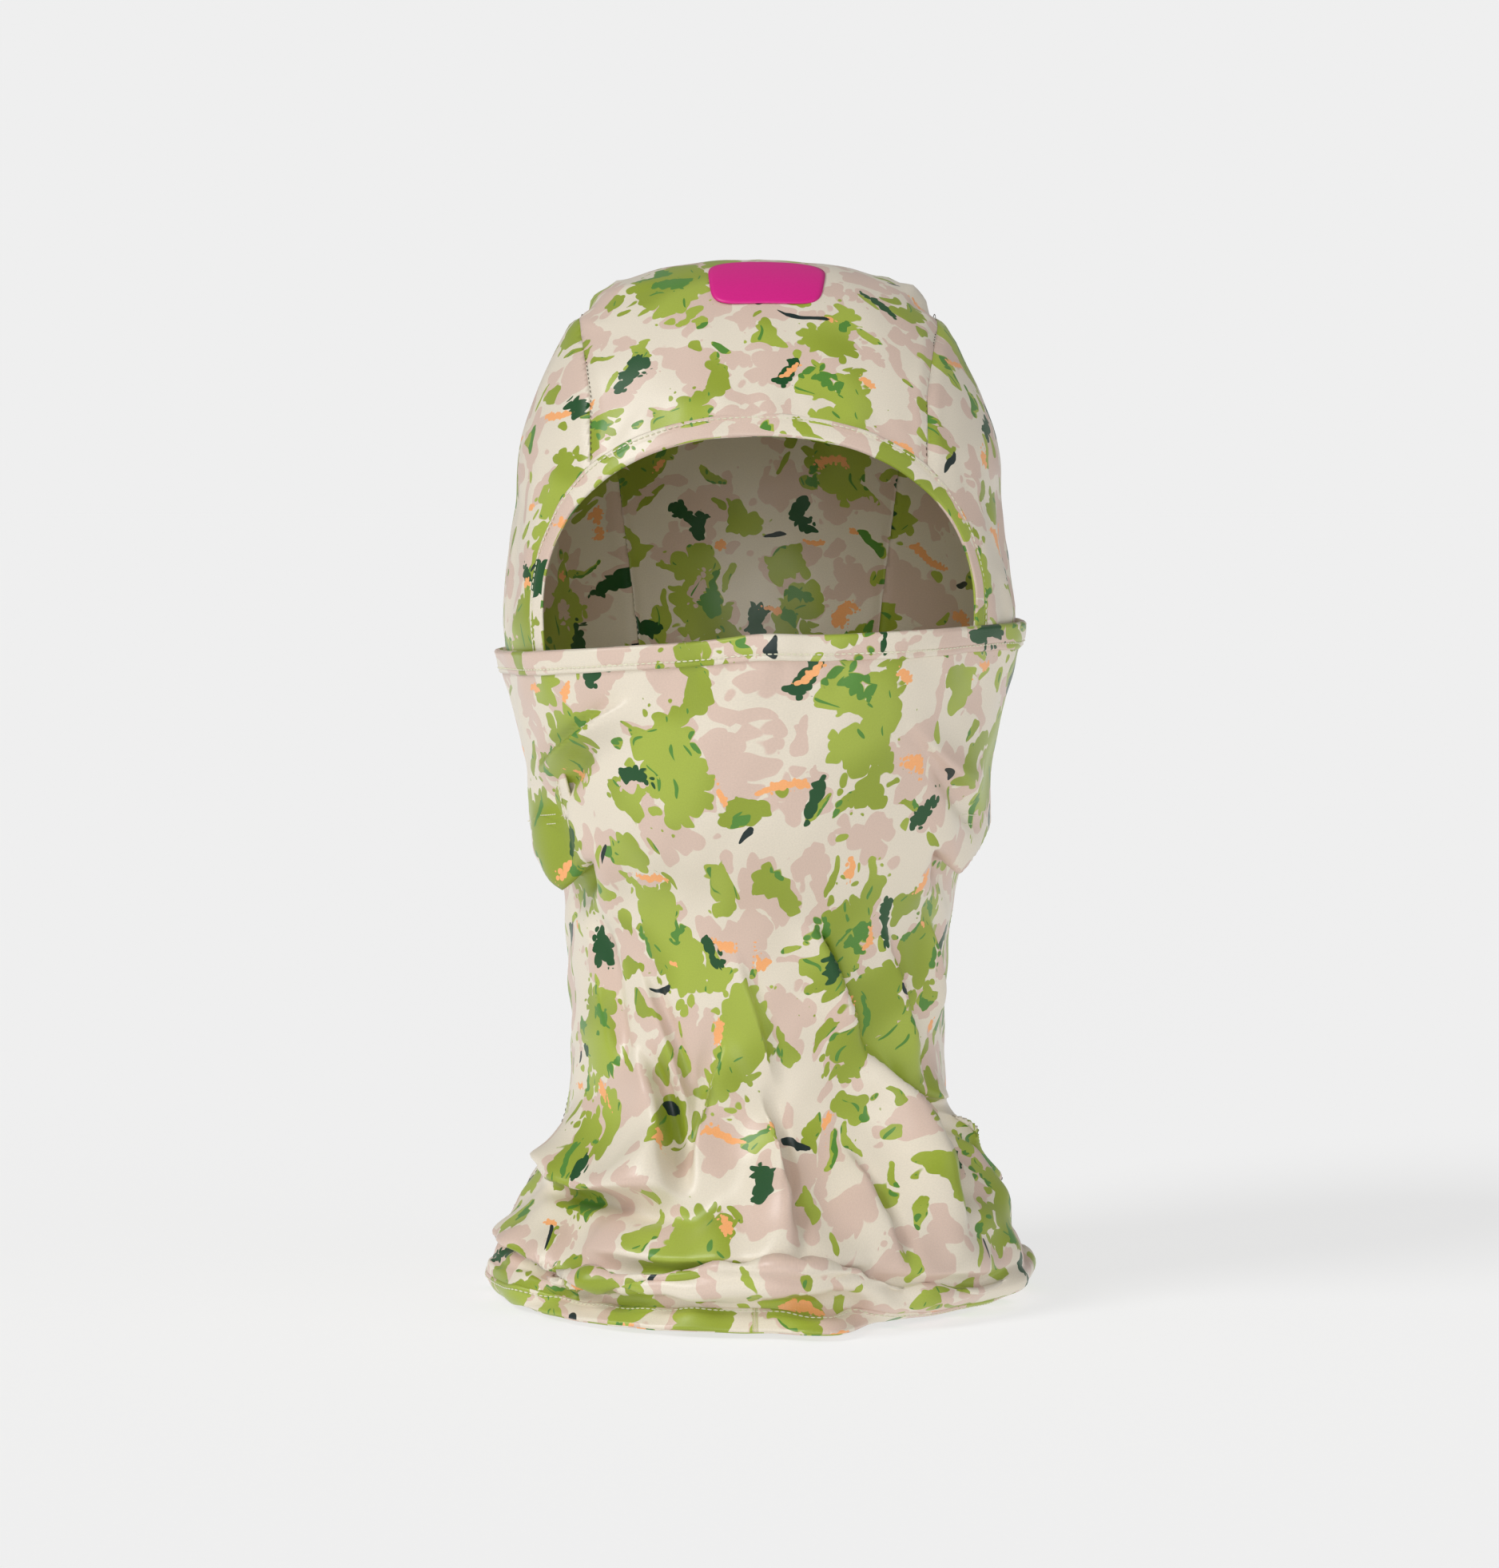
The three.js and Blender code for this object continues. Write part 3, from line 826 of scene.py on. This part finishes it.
def make_neck_and_mask():
    fine = laid_tube()                                     # columns, then rows from the top
    columns = np.arange(fine.shape[0]) * 2 * math.pi / fine.shape[0]
    step = columns[1]
    row_step = float(np.linalg.norm(np.diff(fine, axis=1), axis=-1).mean())
    half = int(round(FRONT_END / step))
    picked = np.arange(-half, half + 1)
    rear = slice(half, fine.shape[0] - half + 1)
    front, normal, uv, join = front_sheet(fine, picked, step, row_step)
    back, back_normal, back_join = back_sheet(fine[rear], columns[rear])
    back_uv = cloth_uv(columns[rear] * CLOTH_RADIUS + 0.9, -0.0015 * np.arange(back.shape[1]))
    pieces = {"front": cloth_piece("mask_and_neck_front_cloth", front, uv),
              "back": cloth_piece("neck_back_cloth", back, back_uv)}

    whole = fine.copy()
    whole[picked] = front[:, join:]
    whole[rear] = back[:, back_join:]
    whole[picked[[0, -1]]] = front[[0, -1], join:]
    hem_rows = int(round(BOTTOM_HEM / row_step))
    grid, out = (resampled(part[:, ::-1][:, :hem_rows + 1], HEM_STEPS)
                 for part in (whole, normals_of(whole, closed=True)))
    hem_uv = cloth_uv(columns * CLOTH_RADIUS, np.linspace(0, BOTTOM_HEM, HEM_STEPS) + 0.33)
    pieces["bottom_hem"] = hem_piece("bottom_hem_band", grid, out, hem_uv, 0.8 * MM,
                                     hem_rows * row_step, 7.2 * MM, closed=True)
    pieces["bottom_stitch"] = grid[:, 10] + out[:, 10] * 0.9 * MM
    pieces["side_seams"] = [front[side, join - 10:] + normal[side, join - 10:] * SEAM_LIFT
                            for side in (0, -1)]
    pieces["nape"] = back[:, 0] + back_normal[:, 0] * 2 * SEAM_LIFT
    pieces["mask_edge"] = front[:, :join]
    pieces["mask_normal"] = normal[:, :join]
    return pieces


# ---- The mask's hems ----
HEM_ROWS = 7                    # rows of the mask's sheet that its top hem covers
MASK_STITCH = 7.4 * MM


def make_mask_hems(pieces):
    grid, normal = pieces["mask_edge"], pieces["mask_normal"]
    across = through(resampled(grid[:, :HEM_ROWS], HEM_STEPS), 2)
    outward = unit(through(unit(resampled(normal[:, :HEM_ROWS], HEM_STEPS)), 2))
    width = np.linalg.norm(across[len(across) // 2, 0] - across[len(across) // 2, -1])
    uv = np.stack([across[..., 0] + 0.11, across[..., 2] + 0.47], -1)
    hem = hem_piece("mask_top_hem_band", across + outward * 0.25 * MM, outward, uv, 0.85 * MM,
                    width, MASK_STITCH)
    at = int(round(MASK_STITCH / width * (HEM_STEPS - 1)))
    stitch = even(across[:, at] + outward[:, at] * 1.05 * MM, 0.8 * MM)
    sides = []
    low = int(np.argmin(np.abs(grid[0, :, 2] - 0.163)))
    for name, edge in (("mask_side_hem_left_band", slice(0, 4)),
                       ("mask_side_hem_right_band", slice(-1, -5, -1))):
        strip, out = (resampled(np.swapaxes(part[edge, HEM_ROWS - 1:low], 0, 1), 8)
                      for part in (grid, normal))
        out = unit(out)
        uv = np.stack([strip[..., 1] + 0.23, strip[..., 2]], -1)
        far = np.linalg.norm(strip[5, 0] - strip[5, -1])
        sides.append(hem_piece(name, strip + out * 0.2 * MM, out, uv, 0.65 * MM, far, 0.8 * far))
    return hem, stitch, sides


# ---- Stitches, placed along a path by Geometry Nodes ----
def stitch_nodes(material):
    tree = bpy.data.node_groups.new("stitch row", "GeometryNodeTree")
    face = tree.interface
    face.new_socket("Geometry", in_out="INPUT", socket_type="NodeSocketGeometry")
    for name, value in (("Pitch", 0.0022), ("Stitch length", 0.0017), ("Thread", 0.0004)):
        socket = face.new_socket(name, in_out="INPUT", socket_type="NodeSocketFloat")
        socket.default_value = value
    face.new_socket("Geometry", in_out="OUTPUT", socket_type="NodeSocketGeometry")
    kinds = {"start": "NodeGroupInput", "end": "NodeGroupOutput", "size": "ShaderNodeCombineXYZ",
             "turn": "FunctionNodeAlignRotationToVector", "curve": "GeometryNodeMeshToCurve",
             "spread": "GeometryNodeCurveToPoints", "bead": "GeometryNodeMeshUVSphere",
             "place": "GeometryNodeInstanceOnPoints", "real": "GeometryNodeRealizeInstances",
             "shade": "GeometryNodeSetShadeSmooth", "paint": "GeometryNodeSetMaterial"}
    made = {name: tree.nodes.new(kind) for name, kind in kinds.items()}
    made["spread"].mode = "LENGTH"
    made["turn"].axis = "Z"
    for socket, value in (("Segments", 6), ("Rings", 5), ("Radius", 0.5)):
        made["bead"].inputs[socket].default_value = value
    made["paint"].inputs["Material"].default_value = material
    for source, output, target, entry in (
            ("start", "Geometry", "curve", "Mesh"), ("curve", "Curve", "spread", "Curve"),
            ("start", "Pitch", "spread", "Length"), ("spread", "Points", "place", "Points"),
            ("spread", "Tangent", "turn", "Vector"), ("turn", "Rotation", "place", "Rotation"),
            ("bead", "Mesh", "place", "Instance"), ("start", "Thread", "size", "X"),
            ("start", "Thread", "size", "Y"), ("start", "Stitch length", "size", "Z"),
            ("size", "Vector", "place", "Scale"), ("place", "Instances", "real", "Geometry"),
            ("real", "Geometry", "shade", "Geometry"), ("shade", "Geometry", "paint", "Geometry"),
            ("paint", "Geometry", "end", "Geometry")):
        tree.links.new(made[source].outputs[output], made[target].inputs[entry])
    return tree


def stitch_row(name, paths, tree, pitch, length, thread, closed=False):
    """One object of stitches along every path."""
    mesh = bpy.data.meshes.new(name)
    points, edges = [], []
    for path in paths:
        first = len(points)
        points += path.tolist()
        edges += [(first + i, first + i + 1) for i in range(len(path) - 1)]
        if closed:
            edges.append((first + len(path) - 1, first))
    mesh.from_pydata(points, edges, [])
    obj = link(name, mesh)
    row = obj.modifiers.new("stitches", "NODES")
    row.node_group = tree
    names = {item.name: item.identifier for item in tree.interface.items_tree
             if item.item_type == "SOCKET" and item.in_out == "INPUT"}
    row[names["Pitch"]] = pitch
    row[names["Stitch length"]] = length
    row[names["Thread"]] = thread
    return applied(obj)


SEAM_SINK = 0.0055              # how much smaller than the form the crown's stitch lines are


def crown_seam_path(side):
    """Down the hood from the face opening over the top to the nape, along one seam."""
    points = []
    for degrees in np.arange(0, 240, 0.5):
        around = math.radians(degrees)
        centre = np.array([side * seam_half_width(degrees), 0, CROWN_AXIS])
        points.append(cast(centre, np.array([0, -math.cos(around), math.sin(around)])))
    path = np.array(points) * (1 - SEAM_SINK)
    path[:, 2] += SEAM_SINK * CROWN_AXIS
    keep = (outside_opening(path) > 0.009) & (above_nape(path) > 0.001)
    return even(path[keep], 0.9 * MM)


# ---- The transfer print on the crown ----
PRINT_HALF_WIDTH = 21 * MM
PRINT_HALF_LENGTH = 17 * MM
PRINT_ROUND = 4.5


def make_transfer_print():
    """A plain rounded lozenge of film that follows the crown."""
    low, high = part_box("crown_transfer_print")
    middle = (low + high) / 2
    rings, sides = 14, 96
    along, across = rounded(np.linspace(0, 2 * math.pi, sides, endpoint=False), 2 / PRINT_ROUND)
    grid = []
    for share in np.linspace(1, 0.03, rings):
        place = np.stack([middle.x + share * PRINT_HALF_WIDTH * along,
                          middle.y + share * PRINT_HALF_LENGTH * across,
                          np.full(sides, middle.z)], 1)
        grid.append(on_skin(place, 0.75 * MM - 0.25 * MM * (share > 0.99)))
    grid = np.swapaxes(np.array(grid), 0, 1)
    grid[..., 2] += 0.3 * MM * waves(grid, 0.075, 3)
    hub = on_skin(np.array(middle), 0.7 * MM)
    points, faces = capped(grid.reshape(-1, 3), sides, rings, hub)
    return cut_piece("crown_transfer_lozenge", points, points[:, :2].copy(), faces, 0.3 * MM)


# ---- Materials ----
class Shader:
    """Short calls for building one material's nodes."""

    def __init__(self, name):
        self.material = bpy.data.materials.new(name)
        self.material.use_nodes = True
        self.tree = self.material.node_tree
        self.surface = self.tree.nodes["Principled BSDF"]

    def node(self, kind, inputs, output=0, **settings):
        made = self.tree.nodes.new(kind)
        for key, value in settings.items():
            setattr(made, key, value)
        for key, value in inputs.items():
            socket = made.inputs[key]
            if isinstance(value, bpy.types.NodeSocket):
                self.tree.links.new(value, socket)
            else:
                socket.default_value = value
        return made.outputs[output]

    def math(self, operation, a, b):
        return self.node("ShaderNodeMath", {0: a, 1: b}, operation=operation)

    def vector(self, operation, a, b=(0, 0, 0), output=0):
        return self.node("ShaderNodeVectorMath", {0: a, 1: b}, output, operation=operation)

    def mix(self, share, a, b):
        return self.node("ShaderNodeMix", {0: share, 6: a, 7: b}, 2, data_type="RGBA")

    def noise(self, place, size, detail=0.0, output="Fac"):
        return self.node("ShaderNodeTexNoise",
                         {"Vector": place, "Scale": 1 / size, "Detail": detail}, output,
                         noise_dimensions="2D")

    def cells(self, place, size, output, randomness=1.0):
        return self.node("ShaderNodeTexVoronoi",
                         {"Vector": place, "Scale": 1 / size, "Randomness": randomness}, output,
                         voronoi_dimensions="2D")

    def shift(self, place, x, y):
        return self.vector("ADD", place, (x, y, 0))

    def finish(self, base, relief, strength, distance, **settings):
        """Links the colour and the relief, and sets the sockets that are the same all over."""
        bumped = self.node("ShaderNodeBump", {"Height": relief, "Strength": strength,
                                              "Distance": distance})
        self.tree.links.new(base, self.surface.inputs["Base Color"])
        self.tree.links.new(bumped, self.surface.inputs["Normal"])
        self.set(**settings)
        return self.material

    def set(self, **settings):
        for socket, value in settings.items():
            self.surface.inputs[socket.replace("_", " ")].default_value = value

    def grain(self, scale, detail):
        where = self.node("ShaderNodeTexCoord", {}, "Object")
        return self.node("ShaderNodeTexNoise", {"Vector": where, "Scale": scale, "Detail": detail},
                         "Fac")

    def step(self, value, edge, soft):
        """1 where the value is below the edge, 0 above it."""
        return self.node("ShaderNodeMapRange", {"Value": value, "From Min": edge - soft,
                         "From Max": edge + soft, "To Min": 1.0, "To Max": 0.0},
                         interpolation_type="SMOOTHSTEP")


def colour(red, green, blue):
    """An sRGB colour, 0 to 255, as the linear colour that a shader takes."""
    return tuple((c / 255 / 12.92 if c <= 10 else ((c / 255 + 0.055) / 1.055) ** 2.4)
                 for c in (red, green, blue)) + (1.0,)


CREAM = colour(230, 220, 201)
BLUSH = colour(218, 193, 177)
LIME = colour(165, 181, 66)
OLIVE = colour(146, 162, 44)
LEAF = colour(82, 138, 48)
FOREST = colour(4, 74, 24)
APRICOT = colour(250, 176, 112)
INK = colour(4, 34, 32)
MAGENTA = colour(226, 22, 142)


def blots(s, place, size, likely, wide, tall, swing, seed):
    """How far a point is from the nearest blot's middle, where 1 is the blot's edge."""
    moved = s.shift(place, 37.3 * seed + 11, 71.9 * seed + 5)
    centre = s.cells(moved, size, "Position", 0.75)
    chance = s.cells(moved, size, "Color", 0.75)
    turn, luck, bulk = (s.node("ShaderNodeSeparateColor", {0: chance}, k) for k in range(3))
    away = s.vector("SUBTRACT", moved, centre)
    angle = s.math("MULTIPLY", s.math("SUBTRACT", turn, 0.5), 2 * swing)
    turned = s.node("ShaderNodeVectorRotate", {"Vector": away, "Angle": angle},
                    rotation_type="Z_AXIS")
    grow = s.math("ADD", s.math("MULTIPLY", bulk, 0.5), 0.75)
    far = s.vector("LENGTH", s.vector("DIVIDE", turned, (wide, tall, 1)), output=1)
    far = s.math("DIVIDE", far, grow)
    missing = s.math("GREATER_THAN", luck, likely)
    return s.math("ADD", far, s.math("MULTIPLY", missing, 50.0))


def printed_jersey():
    """Satin jersey with an all-over print of leafy blotches, laid out on the cloth's own UV."""
    s = Shader("printed jersey")
    uv = s.node("ShaderNodeUVMap", {}, uv_map="cloth")
    flat = s.vector("MULTIPLY", uv, (1000, 1000, 0))          # millimetres of cloth
    loose = s.vector("SUBTRACT", s.noise(flat, 17, 0.0, "Color"), (0.5, 0.5, 0.5))
    fine = s.vector("SUBTRACT", s.noise(s.shift(flat, 60, 20), 5.5, 0.0, "Color"), (0.5, 0.5, 0.5))
    drift = s.vector("MULTIPLY", fine, (3.6, 3.6, 0))
    place = s.vector("ADD", s.vector("ADD", flat, s.vector("MULTIPLY", loose, (15, 15, 0))),
                     s.vector("MULTIPLY", fine, (1.8, 1.8, 0)))

    def scallops(size, depth, seed=0.0):
        """Rounded lobes that are added to a blot's edge."""
        dots = s.cells(s.vector("ADD", s.shift(flat, seed, seed), drift), size, "Distance", 0.8)
        return s.math("MULTIPLY", s.math("SUBTRACT", dots, 0.36), depth)

    broad, round_edge, crisp = scallops(7.4, 0.95), scallops(5.2, 0.68, 40), scallops(3.2, 0.9, 90)

    def shapes(*sizes, edge, share=1.0):
        """Blots of those sizes with that edge: cell, chance, width, height, swing and seed."""
        if share != 1:
            edge = s.math("MULTIPLY", edge, share)
        return s.math("ADD", blots(s, place, *sizes), edge)

    def least(a, b, c):
        return s.math("MINIMUM", s.math("MINIMUM", a, b), c)

    def layer(paint, shape, soft, tint):
        return s.mix(s.step(shape, 1.0, soft), paint, tint)

    pink = least(shapes(32, 0.95, 11.5, 10.0, 1.5, 11, edge=broad),
                 shapes(21, 0.62, 5.5, 4.5, 1.5, 12, edge=round_edge),
                 shapes(27, 0.5, 2.6, 9.0, 1.2, 13, edge=round_edge))
    paint = s.mix(s.step(pink, 1.0, 0.035), CREAM, BLUSH)
    green = least(shapes(57, 0.95, 11.5, 21, 0.7, 1, edge=round_edge),
                  shapes(30, 0.80, 5.6, 8.2, 1.2, 2, edge=round_edge),
                  shapes(16, 0.60, 2.1, 4.4, 1.4, 3, edge=crisp, share=0.35))
    tone = s.step(s.noise(s.shift(flat, 10, 700), 34, 0.0), 0.5, 0.16)
    paint = layer(paint, green, 0.02, s.mix(tone, LIME, OLIVE))
    paint = layer(paint, shapes(37, 0.5, 4.2, 4.2, 1.5, 4, edge=crisp, share=1.3), 0.03, BLUSH)
    inner = shapes(22, 0.85, 3.2, 5.4, 1.2, 5, edge=crisp)
    inside = s.math("MULTIPLY", s.step(inner, 1.0, 0.03), s.step(green, 0.96, 0.02))
    paint = s.mix(inside, paint, LEAF)
    paint = layer(paint, shapes(46, 0.7, 3.6, 6.4, 0.9, 6, edge=crisp, share=0.95), 0.03, FOREST)
    dash = blots(s, place, 9, 0.60, 0.55, 2.1, 1.0, 7)
    dashes = s.math("MULTIPLY", s.step(dash, 1.0, 0.08), s.step(green, 0.88, 0.02))
    paint = s.mix(dashes, paint, LEAF)
    bristle = s.math("MULTIPLY", s.math("SUBTRACT", s.cells(flat, 1.8, "Distance"), 0.42), 1.1)
    paint = layer(paint, shapes(31, 0.55, 3.3, 1.9, 0.6, 8, edge=bristle), 0.05, APRICOT)
    paint = layer(paint, shapes(56, 0.7, 3.6, 1.25, 1.5, 9, edge=crisp, share=0.3), 0.04, INK)

    weave = s.vector("MULTIPLY", uv, (2600, 1500, 0))
    wale = s.node("ShaderNodeTexVoronoi", {"Vector": weave, "Scale": 1.0, "Randomness": 0.35},
                  "Distance", voronoi_dimensions="2D")
    grain = s.noise(flat, 0.55, 2.0)
    speck = s.math("ADD", s.math("MULTIPLY", grain, 0.14), 0.93)
    shade = s.node("ShaderNodeCombineXYZ", {0: speck, 1: speck, 2: speck})
    knit = s.math("ADD", s.math("MULTIPLY", wale, 0.6), s.math("MULTIPLY", grain, 0.5))
    rough = s.math("ADD", s.math("MULTIPLY", grain, 0.12), 0.33)
    s.tree.links.new(rough, s.surface.inputs["Roughness"])
    return s.finish(s.vector("MULTIPLY", paint, shade), knit, 0.32, 0.00012,
                    Sheen_Weight=0.12, Sheen_Roughness=0.45, Specular_IOR_Level=0.5)


def thread(name, tint, dark):
    s = Shader(name)
    strands = s.grain(2600.0, 1.0)
    return s.finish(s.mix(strands, dark, tint), strands, 0.4, 0.0001,
                    Roughness=0.55, Sheen_Weight=0.1)


def transfer_film():
    s = Shader("transfer film")
    grain = s.grain(1400.0, 2.0)
    return s.finish(s.mix(grain, colour(214, 18, 132), MAGENTA), grain, 0.25, 0.00012,
                    Roughness=0.42)


# ---- Floor and light ----
BACKDROP = 0.863
AMBIENT = 0.255
FLOOR_COLOUR = 0.32
FLOOR_GLOW = 0.662              # the lit floor meets the backdrop without a line
SUNS = (                        # name, direction, strength and spread in degrees
    ("key", (0.72, 0.46, -0.70), 1.45, 22),
    ("fill", (-0.80, 0.45, -0.50), 0.32, 50),
    ("front", (0.05, 1.0, -0.10), 0.85, 30),
)


def sun(name, direction, strength, spread):
    data = bpy.data.lights.new(name, "SUN")
    data.energy = strength
    data.angle = math.radians(spread)
    light = bpy.data.objects.new(name, data)
    light.rotation_euler = Vector(direction).to_track_quat("-Z", "Y").to_euler()
    scene.collection.objects.link(light)


def add_studio():
    world = bpy.data.worlds.new("studio")
    scene.world = world
    world.use_nodes = True
    tree = world.node_tree
    seen = tree.nodes.new("ShaderNodeLightPath")
    either = tree.nodes.new("ShaderNodeMixShader")
    tree.links.new(seen.outputs["Is Camera Ray"], either.inputs[0])
    backdrop = tree.nodes.new("ShaderNodeBackground")
    for slot, made, strength in ((1, tree.nodes["Background"], AMBIENT), (2, backdrop, BACKDROP)):
        made.inputs["Color"].default_value = (1, 1, 1, 1)
        made.inputs["Strength"].default_value = strength
        tree.links.new(made.outputs[0], either.inputs[slot])
    tree.links.new(either.outputs[0], tree.nodes["World Output"].inputs["Surface"])
    for light in SUNS:
        sun(*light)
    mesh = bpy.data.meshes.new("floor")
    mesh.from_pydata([(-20, -20, 0), (20, -20, 0), (20, 60, 0), (-20, 60, 0)], [], [(0, 1, 2, 3)])
    floor = link("floor", mesh)
    floor.location.z = -0.0002
    s = Shader("pale floor")
    low, high = ((FLOOR_COLOUR + d,) * 3 + (1,) for d in (-0.005, 0.005))
    s.tree.links.new(s.mix(s.grain(300.0, 2.0), low, high), s.surface.inputs["Base Color"])
    s.set(Emission_Color=(1, 1, 1, 1), Emission_Strength=FLOOR_GLOW, Roughness=1.0,
          Specular_IOR_Level=0.0)
    mesh.materials.append(s.material)
    scene.view_settings.view_transform = "Standard"


# ---- Everything together ----
def across_joint(obj):
    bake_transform(obj)


def main():
    add_camera()
    add_studio()
    cloth = printed_jersey()
    topstitch = thread("topstitch thread", colour(248, 244, 228), colour(206, 206, 164))
    seam_thread = thread("seam thread", colour(104, 92, 66), colour(60, 56, 40))
    film = transfer_film()
    pale_row, dark_row = stitch_nodes(topstitch), stitch_nodes(seam_thread)

    crown, left, right = make_hood()
    face_hem, face_stitch = make_face_hem()
    pieces = make_neck_and_mask()
    front, back = pieces["front"], pieces["back"]
    mask_hem, mask_stitch, side_hems = make_mask_hems(pieces)
    lozenge = make_transfer_print()

    rows = (
        ("face_hem_topstitch", [face_stitch], pale_row, "face_hem_stitching"),
        ("bottom_hem_topstitch", [pieces["bottom_stitch"]], pale_row, "bottom_hem_stitching"),
        ("mask_hem_topstitch", [mask_stitch], pale_row, "mask_hem_stitching"),
        ("crown_seam_needle_line_left", [crown_seam_path(-1)], dark_row, "crown_seam_left"),
        ("crown_seam_needle_line_right", [crown_seam_path(1)], dark_row, "crown_seam_right"),
        ("neck_seam_needle_line_left", pieces["side_seams"][:1], dark_row, "neck_side_seam_left"),
        ("neck_seam_needle_line_right", pieces["side_seams"][1:], dark_row, "neck_side_seam_right"),
        ("nape_needle_line", [pieces["nape"]], dark_row, "nape_seam"),
    )
    for name, paths, tree, node in rows:
        pale = tree is pale_row
        long, thick = (1.75, 0.54) if pale else (1.3, 0.36)
        made = stitch_row(name, paths, tree, 2.2 * MM, long * MM, thick * MM,
                          closed=node == "bottom_hem_stitching")
        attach(made, "mask" if node == "mask_hem_stitching" else "hood_and_neck")
        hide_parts(node)

    for side, node in ((-1, "hinge_tack_left"), (1, "hinge_tack_right")):
        lines = []
        for level in (183.5, 180.0):
            x = np.linspace(70.5, 81.5, 16) * MM
            z = np.full(16, level * MM) - (x - 0.0705) * 0.25
            point = face_point(x * side, z)
            lines.append(point + unit(point * (1, 1, 0)) * (MASK_LIFT + 1.9 * MM))
        made = stitch_row(node.replace("hinge_", "jaw_") + "_stitches", lines, pale_row,
                          1.9 * MM, 1.5 * MM, 0.42 * MM)
        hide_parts(node)
        across_joint(made)

    whole = "hood_and_neck"
    for obj, body, *nodes in (
            (crown, whole, "crown_panel"), (left, whole, "left_side_panel"),
            (right, whole, "right_side_panel"), (face_hem, whole, "face_opening_hem"),
            (back, whole, "neck_back_panel"), (pieces["bottom_hem"], whole, "bottom_hem"),
            (lozenge, whole, "crown_transfer_print"), (mask_hem, "mask", "mask_top_hem"),
            (side_hems[0], None, "mask_side_hem_left"), (side_hems[1], None, "mask_side_hem_right"),
            (front, None, "mask_panel", "neck_front_panel")):
        obj.data.materials.append(film if obj is lozenge else cloth)
        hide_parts(*nodes)
        if body:
            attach(obj, body)
        else:
            across_joint(obj)


main()
